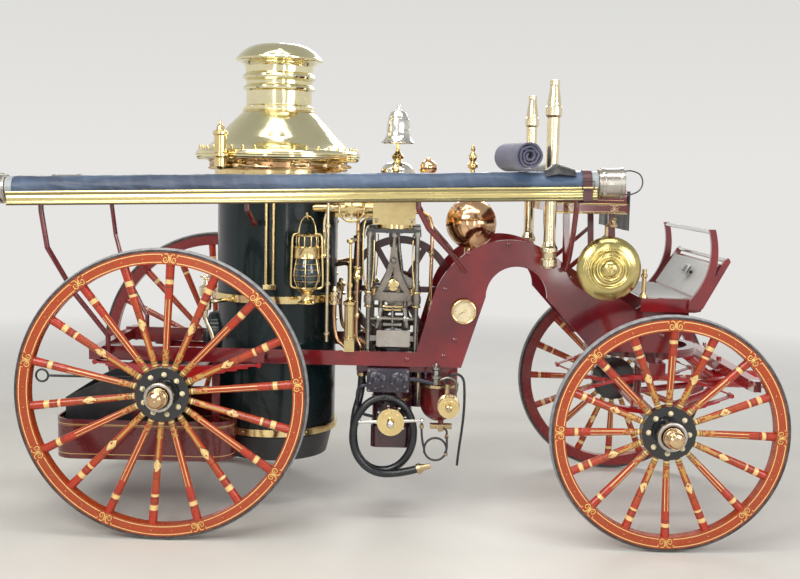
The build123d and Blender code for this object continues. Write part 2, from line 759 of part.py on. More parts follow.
# Pump: a bed plate between the frames, two barrels below the cylinders, the suction chamber
# across them and the discharge chamber in front, with an outlet to each side
with BuildPart() as pump_body:
    with BuildSketch(level(100, 0, pump_plate_bottom)):
        Rectangle(560, 2 * frame_inner_y)
    extrude(amount=pump_plate_top - pump_plate_bottom)
    for side_name, side in sides:
        with BuildSketch(level(suction_x, side * cylinder_y, 470)):
            Circle(112)
        extrude(amount=pump_plate_bottom - 470)
        with BuildSketch(level(suction_x, side * cylinder_y, 740)):
            Circle(130)
        extrude(amount=26)
    with BuildSketch(level(suction_x, 0, 400)):
        RectangleRounded(230, 720, 40)
    extrude(amount=120)
    with Locations((suction_x, 0, suction_z)):
        Cylinder(70, 980, rotation=(90, 0, 0))
        Cylinder(84, 750, rotation=(90, 0, 0))
    with BuildSketch(level(250, 0, 600)):
        RectangleRounded(256, 400, 40)
    extrude(amount=pump_plate_bottom - 600)
    for side_name, side in sides:
        with BuildSketch(turned(chamber_x, side * chamber_y)):
            with BuildLine():
                Polyline((0, 524), (0, pump_plate_bottom), (chamber_radius, pump_plate_bottom))
                Polyline(
                    (chamber_radius, pump_plate_bottom),
                    (chamber_radius, 752),
                    (chamber_radius + 8, 746),
                    (chamber_radius + 8, 730),
                    (chamber_radius, 724),
                    (chamber_radius, 524 + chamber_radius),
                )
                RadiusArc((chamber_radius, 524 + chamber_radius), (0, 524), chamber_radius)
            make_face()
        revolve(axis=upright_line(chamber_x, side * chamber_y))
        # drain cock below the chamber
        with BuildSketch(level(300, side * 235, 470)):
            Circle(15)
        extrude(amount=90)
        with BuildSketch(Plane(origin=(238, side * 235, 500), z_dir=(1, 0, 0))):
            Circle(17)
        extrude(amount=124)
        with BuildSketch(Plane(origin=(300, side * 235, 500), x_dir=(1, 0, 0), z_dir=(0, side, 0))):
            Circle(20)
        extrude(amount=52)
    # ferrules of the priming hose, below the bed plate, and of the small jet hose
    with BuildSketch(level(prime_x, prime_y, prime_z)):
        Circle(27)
    extrude(amount=pump_plate_bottom - prime_z)
    with BuildSketch(level(prime_x, prime_y, prime_z + 10)):
        Circle(29.5)
    extrude(amount=8)
    with BuildSketch(Plane(origin=(jet_x, -280, 735), x_dir=(1, 0, 0), z_dir=(0, -1, 0))):
        Circle(12)
    extrude(amount=-jet_y - 280)
    with BuildSketch(level(jet_x, jet_y, 719)):
        Circle(16)
    extrude(amount=jet_z - 719)
    with Locations((discharge_x, 0, discharge_z)):
        Cylinder(50, 920, rotation=(90, 0, 0))
    with BuildSketch(Plane(origin=(discharge_x, 460, discharge_z), z_dir=(0, -1, 0))):
        Circle(outlet_bore)
    extrude(amount=outlet_depth, mode=Mode.SUBTRACT)
save(pump_body.part, "pump_body")

# Brass caps on the suction inlets and on the right outlet, with their nuts and levers
with BuildPart() as pump_caps:
    for side_name, side in sides:
        cap_face = Plane(origin=(suction_x, side * 490, suction_z), x_dir=(1, 0, 0), z_dir=(0, side, 0))
        with BuildSketch(cap_face):
            Circle(74)
        extrude(amount=34)
        with BuildSketch(cap_face.offset(34)):
            Circle(56)
        extrude(amount=8)
        with BuildSketch(cap_face.offset(42)):
            RegularPolygon(17, 6)
        extrude(amount=26)
    cap_face = Plane(origin=(discharge_x, -460, discharge_z), x_dir=(1, 0, 0), z_dir=(0, -1, 0))
    with BuildSketch(cap_face):
        Circle(58)
    extrude(amount=24)
    with BuildSketch(cap_face.offset(24)):
        Circle(40)
    extrude(amount=10)
    with BuildSketch(cap_face.offset(34)):
        RegularPolygon(13, 6)
    extrude(amount=16)
save(pump_caps.part, "pump_caps")

# Priming hose, hung in a coil over the right suction inlet, with its nozzle, and the small
# jet hose that hangs from the discharge chamber. Each runs through straight lengths joined by
# tangent arcs
prime_diameter = 43
prime_route = (
    (prime_x, prime_y, prime_z),
    (prime_x, prime_y, 712),
    (-188, -390, 585),
    (-190, -390, 392),
    (-98, -390, 278),
    (44, -392, 280),
    (142, -396, 396),
    (147, -404, 570),
    (54, -414, 694),
    (-92, -426, 695),
    (-190, -438, 566),
    (-188, -442, 396),
    (-94, -444, 282),
    (42, -446, 268),
    (168, -448, 304),
)
jet_diameter = 14
jet_route = (
    (jet_x, jet_y, jet_z),
    (jet_x, jet_y, 804),
    (342, -411, 828),
    (370, -416, 838),
    (398, -421, 829),
    (416, -426, 805),
    (420, -433, 748),
    (421, -440, 650),
    (411, -445, 530),
    (396, -447, 420),
    (388, -448, 330),
)


def cord_path(route, diameter):
    corners = [Vector(*point) for point in route]
    runs = [b - a for a, b in zip(corners, corners[1:])]
    radii = []
    for before, after in zip(runs, runs[1:]):
        half_turn = radians(before.get_angle(after) / 2)
        radii.append(0.45 * min(before.length, after.length) / tan(half_turn))
    print("radii in diameters", [round(radius / diameter, 1) for radius in radii])
    return corners, radii


for name, route, diameter in (
    ("priming_hose", prime_route, prime_diameter),
    ("jet_hose", jet_route, jet_diameter),
):
    corners, radii = cord_path(route, diameter)
    with BuildPart() as hose:
        with BuildLine() as centre_line:
            FilletPolyline(*corners, radius=radii)
        with BuildSketch(Plane(origin=corners[0], z_dir=corners[1] - corners[0])):
            Circle(diameter / 2)
        sweep()
    length = centre_line.wire().length
    print(name, "length", round(length), "volume share",
          round(hose.part.volume / (pi * diameter**2 / 4 * length), 4))
    save(hose.part, name)

nozzle_low = Vector(*prime_route[-1])
nozzle_way = (nozzle_low - Vector(*prime_route[-2])).normalized()
nozzle_plane = Plane(origin=nozzle_low, z_dir=nozzle_way)
with BuildPart() as priming_nozzle:
    for low, high, first, last in ((0, 22, 29, 29), (22, 36, 24, 20), (36, 78, 18, 13)):
        with BuildSketch(nozzle_plane.offset(low)):
            Circle(first)
        with BuildSketch(nozzle_plane.offset(high)):
            Circle(last)
        loft()
save(priming_nozzle.part, "priming_nozzle")

# Air chamber: a copper ball on a neck that rises from the discharge chamber, with its finial
neck_low = (320, 0, pump_plate_top)
neck_mid = (428, 0, 1010)
neck_high = (air_ball_x, 0, air_ball_z - air_ball_radius - 30)
with BuildPart() as air_chamber:
    with BuildLine():
        neck_path = FilletPolyline(neck_low, neck_mid, neck_high, (air_ball_x, 0, air_ball_z), radius=60)
    with BuildSketch(Plane(origin=neck_low, z_dir=neck_path % 0)):
        Circle(36)
    sweep()
    with BuildSketch(level(neck_low[0], 0, pump_plate_top)):
        Circle(62)
    extrude(amount=24)
    with Locations((air_ball_x, 0, air_ball_z)):
        Sphere(air_ball_radius)
    with BuildSketch(turned(air_ball_x, 0)):
        with BuildLine():
            top = air_ball_z + air_ball_radius
            Polyline(
                (0, top - 30),
                (46, top - 12),
                (40, top + 12),
                (16, top + 24),
                (13, 1960),
                (30, 1972),
                (30, 1990),
                (14, 2004),
                (24, 2026),
                (24, 2040),
                (9, 2062),
                (14, 2080),
                (8, 2096),
                (0, 2102),
                close=True,
            )
        make_face()
    revolve(axis=upright_line(air_ball_x, 0))
    with BuildSketch(level(0, 0, pump_plate_top)):
        Rectangle(2000, 2000)
    extrude(amount=-60, mode=Mode.SUBTRACT)
save(air_chamber.part, "air_chamber")

# Pressure gauge on the right plate
gauge_x = 405
gauge_z = 1183
with BuildPart() as pressure_gauge:
    gauge_face = Plane(origin=(gauge_x, -frame_outer_y, gauge_z), x_dir=(1, 0, 0), z_dir=(0, -1, 0))
    with BuildSketch(gauge_face):
        Circle(58)
    extrude(amount=36)
    with BuildSketch(gauge_face.offset(30)):
        Circle(68)
        Circle(58, mode=Mode.SUBTRACT)
    extrude(amount=14)
save(pressure_gauge.part, "pressure_gauge")

# Steam fittings: the steam pipe with its hand wheel, and the safety valve's column on its elbow
with BuildPart() as steam_fittings:
    pipe_y = -235
    pipe_z = 1727
    with BuildSketch(Plane(origin=(boiler_x, pipe_y, pipe_z), z_dir=(1, 0, 0))):
        Circle(26)
    extrude(amount=engine_x - jacket_half_x - boiler_x)
    with BuildSketch(Plane(origin=(-260, pipe_y, pipe_z), z_dir=(1, 0, 0))):
        Circle(42)
    extrude(amount=88)
    with BuildSketch(upright(pipe_y)):
        with Locations((-222, pipe_z)):
            Circle(12)
    extrude(amount=114)
    with Locations((-222, pipe_y - 105, pipe_z)):
        Torus(69, 7, rotation=(90, 0, 0))
        Box(134, 8, 12)
        Box(12, 8, 134)
        Cylinder(24, 16, rotation=(90, 0, 0))
    valve_x, valve_y = boiler_x - 256, -447
    with BuildSketch(Plane(origin=(boiler_x, 0, 1953), z_dir=(-256, -447, 0))):
        Circle(20)
    extrude(amount=515)
    with BuildSketch(turned(valve_x, valve_y)):
        with BuildLine():
            Polyline(
                (0, 1926),
                (28, 1930),
                (33, 1944),
                (33, 1990),
                (41, 1998),
                (41, 2012),
                (33, 2020),
                (34, 2108),
                (41, 2116),
                (41, 2130),
                (24, 2138),
                (20, 2160),
                (8, 2170),
                (6, 2188),
                (0, 2192),
                close=True,
            )
        make_face()
    revolve(axis=upright_line(valve_x, valve_y))
    with BuildSketch(level(boiler_x, 0, shell_bottom)):
        Circle(shell_radius)
    extrude(amount=shell_top - shell_bottom, mode=Mode.SUBTRACT)
    with BuildSketch(level(boiler_x, 0, shell_top - 1)):
        Circle(drum_radius)
    extrude(amount=drum_top - shell_top + 1, mode=Mode.SUBTRACT)
save(steam_fittings.part, "steam_fittings")

# Water gauge: a glass and a rod between two cocks on the boiler's right side
gauge_glass_x = -665
with BuildPart() as water_gauge:
    for z in (1290, 1800):
        with Locations((gauge_glass_x, -365, z)):
            Box(70, 60, 26)
    for x in (gauge_glass_x - 20, gauge_glass_x + 20):
        with BuildSketch(level(x, -385, 1290)):
            Circle(8)
        extrude(amount=510)
    with BuildSketch(level(boiler_x, 0, 1200)):
        Circle(shell_radius)
    extrude(amount=700, mode=Mode.SUBTRACT)
save(water_gauge.part, "water_gauge")

# Bell on its brass stand: the stand's post passes inside the bell to its crown
bell_x = 20
bell_mouth_z = 2100
stand_bottom = jacket_top - 20
with BuildPart() as bell_stand:
    with BuildSketch(turned(bell_x, 0)):
        with BuildLine():
            Polyline(
                (0, stand_bottom),
                (76, stand_bottom),
                (76, 1896),
                (100, 1906),
                (100, 1936),
            )
            ThreePointArc((100, 1936), (76, 1976), (26, 1992))
            Polyline(
                (26, 1992),
                (20, 2002),
                (34, 2014),
                (36, 2028),
                (22, 2042),
                (14, 2056),
                (11, 2070),
                (11, bell_mouth_z + 164),
                (0, bell_mouth_z + 164),
                (0, stand_bottom),
            )
        make_face()
    revolve(axis=upright_line(bell_x, 0))
save(bell_stand.part, "bell_stand")

with BuildPart() as bell:
    with BuildSketch(turned(bell_x, 0)):
        with BuildLine():
            crown = bell_mouth_z + 180
            Line((0, crown), (44, crown))
            ThreePointArc((44, crown), (60, crown - 40), (66, crown - 100))
            ThreePointArc((66, crown - 100), (76, bell_mouth_z + 32), (97, bell_mouth_z + 6))
            Polyline((97, bell_mouth_z + 6), (95, bell_mouth_z), (86, bell_mouth_z + 4))
            ThreePointArc((86, bell_mouth_z + 4), (68, bell_mouth_z + 34), (58, crown - 100))
            ThreePointArc((58, crown - 100), (53, crown - 46), (38, crown - 16))
            Polyline((38, crown - 16), (0, crown - 16), (0, crown))
        make_face()
    revolve(axis=upright_line(bell_x, 0))
    with BuildSketch(turned(bell_x, 0)):
        with BuildLine():
            Polyline(
                (0, crown), (24, crown), (22, crown + 10), (12, crown + 14),
                (13, crown + 34), (6, crown + 45), (0, crown + 45), close=True,
            )
        make_face()
    revolve(axis=upright_line(bell_x, 0))
save(bell.part, "bell")

# Hose trays: a brass trough on each side with a moulded outer wall
for side_name, side in sides:
    tray_length = (tray_front_x - tray_rear_x) / tray_dir.X
    with BuildPart() as hose_tray:
        with BuildSketch(tray_plane(tray_rear_x, side)):
            for y, width, low, high in (
                (0, 2 * tray_half, -tray_floor_drop, -hose_radius),
                (-(tray_half - tray_wall / 2), tray_wall, tray_low, tray_high),
                (tray_half - tray_wall / 2, tray_wall, tray_low, tray_high),
                (side * (tray_half + 2), 8, tray_high - 14, tray_high),
                (side * (tray_half + 2), 8, tray_low, tray_low + 14),
            ):
                with Locations((y, (low + high) / 2)):
                    Rectangle(width, high - low)
        extrude(amount=tray_length)
    save(hose_tray.part, f"hose_tray_{side_name}")

# Suction hoses in their trays, and a coupling at each end of each hose
couplings = (
    (hose_front_x, front_coupling_end, 1),
    (hose_rear_x, rear_coupling_end, -1),
)
for side_name, side in sides:
    with BuildPart() as suction_hose:
        with BuildSketch(tray_plane(hose_rear_x, side)):
            Circle(hose_radius)
        extrude(amount=(hose_front_x - hose_rear_x) / tray_dir.X)
    save(suction_hose.part, f"suction_hose_{side_name}")

with BuildPart() as hose_couplings:
    for side_name, side in sides:
        for start_x, end_x, way in couplings:
            length = abs(end_x - start_x) / tray_dir.X
            for radius, low, high in (
                (coupling_radius - 8, 0, length),
                (coupling_radius, 0.12 * length, 0.2 * length),
                (coupling_radius - 3, 0.2 * length, 0.86 * length),
                (coupling_radius, 0.86 * length, 0.96 * length),
            ):
                plane = tray_plane(start_x, side).offset(way * low)
                with BuildSketch(plane):
                    Circle(radius)
                extrude(amount=way * (high - low))
save(hose_couplings.part, "hose_couplings")

# Tray irons: round stays from under each tray to the boiler, the rails and the arches
iron_radius = 14
tray_down = Vector(tray_rise, 0, -1).normalized()
irons = (
    (-1830, ((-1800, 640, 1500), (-1700, 520, 1250), (-1545, 430, 1010)), (-1545, frame_outer_y, 905)),
    (-750, ((-748, 560, 1690), (-745, 440, 1640)), (-745, 0, 1625)),
    (140, ((200, 600, 1640), (330, 500, 1500)), (402, frame_outer_y, 1410)),
    (960, ((960, 600, 1640), (958, 480, 1490)), (950, frame_outer_y, 1425)),
)
with BuildPart() as tray_irons:
    for side_name, side in sides:
        for x, bends, foot in irons:
            top = Vector(x, side * tray_y, hose_z(x)) + tray_down * tray_floor_drop
            points = [top, top + tray_down * 50]
            points += [Vector(bx, side * by, bz) for bx, by, bz in bends]
            if foot[1]:
                points += [Vector(foot[0], side * (foot[1] + 40), foot[2])]
            points += [Vector(foot[0], side * foot[1], foot[2])]
            for start, end in zip(points, points[1:]):
                run = end - start
                with BuildSketch(Plane(origin=start, z_dir=run)):
                    Circle(iron_radius)
                extrude(amount=run.length)
                if end is not points[-1]:
                    with Locations(end):
                        Sphere(iron_radius)
    with BuildSketch(level(boiler_x, 0, 1500)):
        Circle(shell_radius)
    extrude(amount=300, mode=Mode.SUBTRACT)
save(tray_irons.part, "tray_irons")

# Driver's seat: a shallow pan on two flat irons and a brace on each side, inside the plates
seat_iron = 22
with BuildPart() as driver_seat:
    with BuildSketch(level((seat_rear_x + seat_front_x) / 2, 0, seat_pan_bottom)):
        Rectangle(seat_front_x - seat_rear_x, 2 * seat_half)
    extrude(amount=seat_pan_top - seat_pan_bottom)
    with BuildSketch(level((seat_rear_x + seat_front_x) / 2, 0, seat_pan_top)):
        Rectangle(seat_front_x - seat_rear_x - 40, 2 * seat_half - 40)
    extrude(amount=-seat_pan_top + seat_pan_bottom + 20, mode=Mode.SUBTRACT)
    for side_name, side in sides:
        with BuildSketch(upright(side * frame_inner_y)):
            Polygon((946, 1376), (982, 1376), (972, seat_pan_bottom + 4), (936, seat_pan_bottom + 4), align=None)
            Polygon((1204, 1250), (1240, 1236), (1218, seat_pan_bottom + 4), (1182, seat_pan_bottom + 4), align=None)
            Polygon((950, 1420), (966, 1404), (1208, 1622), (1196, 1640), align=None)
        extrude(amount=side * seat_iron)
save(driver_seat.part, "driver_seat")

# Seat cushion, the low padded back, and the leather apron at the seat's front edge
with BuildPart() as seat_cushion:
    with BuildSketch(level((905 + seat_front_x - 22) / 2, 0, seat_pan_bottom + 20)):
        RectangleRounded(seat_front_x - 22 - 935, 2 * seat_half - 44, 30)
    extrude(amount=125)
    fillet(seat_cushion.faces().sort_by(Axis.Z)[-1].edges(), 22)
save(seat_cushion.part, "seat_cushion")

with BuildPart() as seat_back:
    with BuildSketch(level(seat_rear_x + 10, 0, seat_pan_top)):
        Rectangle(20, 2 * seat_half)
    extrude(amount=190)
    with BuildSketch(upright(0)):
        with Locations((seat_rear_x + 10, 1955)):
            Ellipse(44, 52)
    extrude(amount=seat_half - 10, both=True)
    with BuildSketch(upright(0)):
        with Locations((seat_front_x + 8, 1750)):
            RectangleRounded(16, 215, 7)
    extrude(amount=seat_half - 10, both=True)
save(seat_back.part, "seat_back")

# Footboard with its sloping toe board
toe_low = (1642, footboard_bottom)
toe_high = (1784, 1472)
board_thickness = 24
with BuildPart() as footboard:
    with BuildSketch(upright(0)):
        with BuildLine():
            Polyline(
                (footboard_rear_x, footboard_bottom),
                toe_low,
                (toe_low[0] + 30, footboard_bottom + 6),
                toe_high,
                (toe_high[0] - board_thickness, toe_high[1] + 8),
                (toe_low[0] - 4, footboard_top),
                (footboard_rear_x, footboard_top),
                close=True,
            )
        make_face()
    extrude(amount=footboard_half, both=True)
save(footboard.part, "footboard")

# Dash: a curved iron arm on each side of the footboard, the two rails between the arms, and
# the lantern post on the right
arm_thickness = 26
with BuildPart() as dash_rails:
    for side_name, side in sides:
        with BuildSketch(upright(side * footboard_half)):
            with BuildLine():
                Line((1600, 1232), (1654, 1232))
                ThreePointArc((1654, 1232), (1736, 1430), (1724, 1664))
                Line((1724, 1664), (1690, 1664))
                ThreePointArc((1690, 1664), (1696, 1450), (1600, 1276))
                Line((1600, 1276), (1600, 1232))
            make_face()
            Polygon((1640, 1232), (1676, 1238), (1812, 1494), (1800, 1514), (1780, 1502), align=None)
        extrude(amount=-side * arm_thickness)
    for x, z in ((1709, 1650), (1797, 1498)):
        with Locations((x, 0, z)):
            Cylinder(12, 2 * (footboard_half + arm_thickness), rotation=(90, 0, 0))
    with BuildSketch(turned(1375, -440)):
        with BuildLine():
            Polyline(
                (0, footboard_top), (24, footboard_top), (22, 1300), (12, 1312), (13, 1390),
                (18, 1398), (18, 1410), (12, 1416), (12, 1440), (0, 1440), close=True,
            )
        make_face()
    revolve(axis=upright_line(1375, -440))
save(dash_rails.part, "dash_rails")

# Gong on a bracket from the right plate, its bowl facing outward
gong_x = 1152
gong_z = 1450
gong_radius = 170
gong_rim_y = -600
gong_face_y = -626
with BuildPart() as gong:
    with BuildSketch(Plane(origin=(gong_x, 0, gong_z), x_dir=(1, 0, 0), z_dir=(0, 0, 1))):
        with BuildLine():
            Polyline((0, -frame_outer_y), (36, -frame_outer_y), (36, -399), (16, -407), (16, gong_face_y))
            Line((16, gong_face_y), (96, gong_face_y))
            ThreePointArc((96, gong_face_y), (134, -617), (gong_radius - 10, gong_rim_y))
            Line((gong_radius - 10, gong_rim_y), (gong_radius, gong_rim_y))
            ThreePointArc((gong_radius, gong_rim_y), (146, -624), (108, -636))
            Polyline((108, -636), (106, -643), (98, -645), (92, -640))
            ThreePointArc((92, -640), (83, -636), (75, -640))
            Polyline((75, -640), (73, -647), (65, -648), (60, -643), (50, -642))
            ThreePointArc((50, -642), (38, -662), (14, -671))
            Polyline((14, -671), (12, -684), (0, -684), (0, -frame_outer_y))
        make_face()
    revolve(axis=Axis((gong_x, 0, gong_z), (0, 1, 0)))
    with BuildSketch(upright(-frame_outer_y)):
        Polygon((1108, 1296), (1166, 1262), (1184, gong_z), (1120, gong_z), align=None)
    extrude(amount=14)
save(gong.part, "gong")

# Playpipes: the two long nozzles, each in a socket on a bracket of its plate
pipe_x = 845
pipe_y = 520
with BuildPart() as playpipes:
    for side_name, side in sides:
        with BuildSketch(turned(pipe_x, side * pipe_y)):
            with BuildLine():
                Polyline(
                    (0, 1440), (34, 1440), (44, 1452), (44, 1486), (36, 1494), (38, 1520),
                    (46, 1528), (46, 1548), (38, 1560), (32, 1580), (34, 2234), (43, 2246),
                    (43, 2290), (37, 2296), (36, 2312), (24, 2400), (26, 2404), (26, 2428),
                    (14, 2430), (14, 2390), (0, 2380), close=True,
                )
            make_face()
        revolve(axis=upright_line(pipe_x, side * pipe_y))
        with Locations((pipe_x, side * (frame_outer_y + pipe_y - 30) / 2, 1462)):
            Box(36, pipe_y - 30 - frame_outer_y, 28)
save(playpipes.part, "playpipes")

# Lanterns beside the boiler, each on a hook bracket
lantern_x = -453
lantern_y = 450
with BuildPart() as lanterns:
    for side_name, side in sides:
        with BuildSketch(turned(lantern_x, side * lantern_y)):
            with BuildLine():
                Polyline(
                    (0, 1208), (70, 1208), (78, 1222), (78, 1262), (52, 1276), (60, 1290),
                    (60, 1296), (50, 1300),
                )
                ThreePointArc((50, 1300), (62, 1352), (46, 1410))
                Polyline(
                    (46, 1410), (58, 1414), (58, 1428), (50, 1434), (50, 1466), (36, 1474),
                    (36, 1486), (0, 1496), (0, 1208),
                )
            make_face()
        revolve(axis=upright_line(lantern_x, side * lantern_y))
        with BuildSketch(upright(side * lantern_y)):
            with BuildLine():
                ThreePointArc((lantern_x - 70, 1480), (lantern_x, 1601), (lantern_x + 70, 1480))
                Line((lantern_x + 70, 1480), (lantern_x + 62, 1480))
                ThreePointArc((lantern_x + 62, 1480), (lantern_x, 1590), (lantern_x - 62, 1480))
                Line((lantern_x - 62, 1480), (lantern_x - 70, 1480))
            make_face()
            for x in (lantern_x - 78, lantern_x + 78):
                with Locations((x, 1360)):
                    Rectangle(12, 250)
            with Locations((lantern_x, 1480)):
                Rectangle(160, 12)
            with Locations((lantern_x, 1246)):
                Rectangle(160, 20)
        extrude(amount=5, both=True)
        with Locations((lantern_x, side * 350, 1584)):
            Box(24, 220, 14)
    with BuildSketch(level(boiler_x, 0, 1500)):
        Circle(shell_radius)
    extrude(amount=200, mode=Mode.SUBTRACT)
save(lanterns.part, "lanterns")

# Hand syringe on its stand on the right rail
syringe_x = -220
syringe_y = -(frame_outer_y + 24)
with BuildPart() as hand_syringe:
    with Locations((syringe_x, (syringe_y - frame_inner_y) / 2, (rail_top + 1010) / 2)):
        Box(56, 62, 1010 - rail_top)
    with BuildSketch(turned(syringe_x, syringe_y)):
        with BuildLine():
            Polyline(
                (0, 1010), (34, 1010), (34, 1024), (29, 1030), (29, 1200), (36, 1206), (36, 1222),
                (12, 1236), (9, 1250), (7, 1540), (22, 1548), (22, 1562), (0, 1566), close=True,
            )
        make_face()
    revolve(axis=upright_line(syringe_x, syringe_y))
save(hand_syringe.part, "hand_syringe")

# Blanket roll across the right hose
roll_x = 708
roll_turn = radians(21)
roll_half_width = 78
roll_half_height = 71
roll_end = Plane(
    origin=(roll_x, -740, hose_z(roll_x) + hose_radius + roll_half_height + 1),
    x_dir=(cos(roll_turn), sin(roll_turn), 0),
    z_dir=(-sin(roll_turn), cos(roll_turn), 0),
)
with BuildPart() as blanket_roll:
    with BuildSketch(roll_end):
        Ellipse(roll_half_width, roll_half_height)
    extrude(amount=255)
save(blanket_roll.part, "blanket_roll")

# Fuel platform round the firebox, hung from the rails, with the coal bunker on it
platform_rear = -1838
platform_front = -853
platform_bottom = 331
platform_top = 550
platform_half = 500
platform_wall = 10
with BuildPart() as fuel_platform:
    with BuildSketch(level((platform_rear + platform_front) / 2, 0, platform_bottom)):
        RectangleRounded(platform_front - platform_rear, 2 * platform_half, 120)
        with Locations((boiler_x - (platform_rear + platform_front) / 2, 0)):
            Circle(shell_radius + 15, mode=Mode.SUBTRACT)
    extrude(amount=platform_top - platform_bottom)
    with BuildSketch(level((platform_rear + platform_front) / 2, 0, platform_bottom + platform_wall)):
        RectangleRounded(
            platform_front - platform_rear - 2 * platform_wall,
            2 * platform_half - 2 * platform_wall,
            110,
        )
        with Locations((boiler_x - (platform_rear + platform_front) / 2, 0)):
            Circle(shell_radius + 25, mode=Mode.SUBTRACT)
    extrude(amount=platform_top, mode=Mode.SUBTRACT)
    for side_name, side in sides:
        for x in (-1400, -960):
            with BuildSketch(upright(side * (frame_inner_y + 5))):
                with Locations((x, (platform_bottom + 5 + rail_bottom) / 2)):
                    Rectangle(44, rail_bottom - platform_bottom - 5)
            extrude(amount=-side * 14)
save(fuel_platform.part, "fuel_platform")

bunker_rear = -1812
bunker_front = -1250
bunker_half = 340
bunker_top = 752
with BuildPart() as coal_bunker:
    with BuildSketch(upright(0)):
        with BuildLine():
            Polyline(
                (bunker_rear, platform_bottom + platform_wall),
                (bunker_rear, 640),
                (bunker_rear + 240, bunker_top),
                (bunker_front, bunker_top),
                (bunker_front, platform_bottom + platform_wall),
                close=True,
            )
        make_face()
    extrude(amount=bunker_half, both=True)
    with BuildSketch(upright(0)):
        with BuildLine():
            Polyline(
                (bunker_rear + 8, platform_bottom + platform_wall + 8),
                (bunker_rear + 8, 900),
                (bunker_front - 8, 900),
                (bunker_front - 8, platform_bottom + platform_wall + 8),
                close=True,
            )
        make_face()
    extrude(amount=bunker_half - 8, both=True, mode=Mode.SUBTRACT)
save(coal_bunker.part, "coal_bunker")

# Poker on the bunker's right wall, with its ring
poker_z = bunker_top + 7
poker_y = -(bunker_half - 4)
with BuildPart() as poker:
    with BuildSketch(Plane(origin=(-1912, poker_y, poker_z), z_dir=(1, 0, 0))):
        Circle(7)
    extrude(amount=-1912 * -1 + bunker_front - 20)
    with Locations((-1945, poker_y, poker_z)):
        Torus(34, 6, rotation=(90, 0, 0))
save(poker.part, "poker")
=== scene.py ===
import math

import bmesh
import bpy
from mathutils import Matrix, Vector, noise as noiseField


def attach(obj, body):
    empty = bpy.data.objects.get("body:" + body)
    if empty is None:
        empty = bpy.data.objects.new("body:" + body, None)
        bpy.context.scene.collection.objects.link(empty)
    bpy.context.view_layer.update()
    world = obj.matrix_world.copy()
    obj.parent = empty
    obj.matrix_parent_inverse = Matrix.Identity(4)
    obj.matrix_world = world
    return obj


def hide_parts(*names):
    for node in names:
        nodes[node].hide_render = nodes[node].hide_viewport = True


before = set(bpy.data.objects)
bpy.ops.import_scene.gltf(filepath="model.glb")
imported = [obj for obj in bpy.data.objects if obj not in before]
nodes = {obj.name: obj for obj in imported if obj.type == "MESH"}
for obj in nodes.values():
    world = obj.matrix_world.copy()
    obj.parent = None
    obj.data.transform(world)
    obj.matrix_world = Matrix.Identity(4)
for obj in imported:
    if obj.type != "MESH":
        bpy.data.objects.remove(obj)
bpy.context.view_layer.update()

sides = (("right", -1), ("left", 1))
forward, leftward, upward = Vector((1, 0, 0)), Vector((0, 1, 0)), Vector((0, 0, 1))

# camera, as the photograph was taken

camera = {"place": (0.118, -6.163, 1.895), "yaw": -0.0112, "pitch": 0.1038, "roll": 0.0212, "lens": 47.61}


def placeCamera(settings):
    data = bpy.data.cameras.new("camera")
    data.lens = settings["lens"]
    data.sensor_width = 36.0
    eye = bpy.data.objects.new("camera", data)
    bpy.context.scene.collection.objects.link(eye)
    level = Vector((math.sin(settings["yaw"]), math.cos(settings["yaw"]), 0))
    across = Vector((math.cos(settings["yaw"]), -math.sin(settings["yaw"]), 0))
    look = level * math.cos(settings["pitch"]) - upward * math.sin(settings["pitch"])
    top = upward * math.cos(settings["pitch"]) + level * math.sin(settings["pitch"])
    right = across * math.cos(settings["roll"]) + top * math.sin(settings["roll"])
    over = top * math.cos(settings["roll"]) - across * math.sin(settings["roll"])
    turn = Matrix((right, over, -look)).transposed().to_4x4()
    eye.matrix_world = Matrix.Translation(settings["place"]) @ turn
    bpy.context.scene.camera = eye


placeCamera(camera)
print("camera placed")

# small makers for node materials


def calc(tree, operation, *values):
    node = tree.nodes.new("ShaderNodeMath")
    node.operation = operation
    for socket, value in zip(node.inputs, values):
        if isinstance(value, (int, float)):
            socket.default_value = value
        else:
            tree.links.new(value, socket)
    return node.outputs[0]


def mixColour(tree, share, first, second, way="MIX"):
    node = tree.nodes.new("ShaderNodeMix")
    node.data_type = "RGBA"
    node.blend_type = way
    for index, value in ((0, share), (6, first), (7, second)):
        if isinstance(value, (int, float)):
            node.inputs[index].default_value = value
        elif isinstance(value, (tuple, list)):
            node.inputs[index].default_value = (*value, 1)
        else:
            tree.links.new(value, node.inputs[index])
    return node.outputs[2]


def place(tree, stretch=(1, 1, 1)):
    spot = tree.nodes.new("ShaderNodeTexCoord")
    mapping = tree.nodes.new("ShaderNodeMapping")
    mapping.inputs["Scale"].default_value = stretch
    tree.links.new(spot.outputs["Object"], mapping.inputs["Vector"])
    return mapping.outputs["Vector"]


def clouds(tree, scale, detail=4, rough=0.55, stretch=(1, 1, 1)):
    node = tree.nodes.new("ShaderNodeTexNoise")
    node.inputs["Scale"].default_value = scale
    node.inputs["Detail"].default_value = detail
    node.inputs["Roughness"].default_value = rough
    tree.links.new(place(tree, stretch), node.inputs["Vector"])
    return node.outputs["Fac"]


def spread(tree, value, fromLow, fromHigh, toLow, toHigh):
    node = tree.nodes.new("ShaderNodeMapRange")
    tree.links.new(value, node.inputs["Value"])
    for name, number in (("From Min", fromLow), ("From Max", fromHigh), ("To Min", toLow), ("To Max", toHigh)):
        node.inputs[name].default_value = number
    return node.outputs["Result"]


def axes(tree):
    split = tree.nodes.new("ShaderNodeSeparateXYZ")
    tree.links.new(place(tree), split.inputs[0])
    return split.outputs[0], split.outputs[1], split.outputs[2]


# 1 where value lies between low and high
def between(tree, value, low, high):
    over = calc(tree, "GREATER_THAN", value, low)
    return calc(tree, "MULTIPLY", over, calc(tree, "LESS_THAN", value, high))


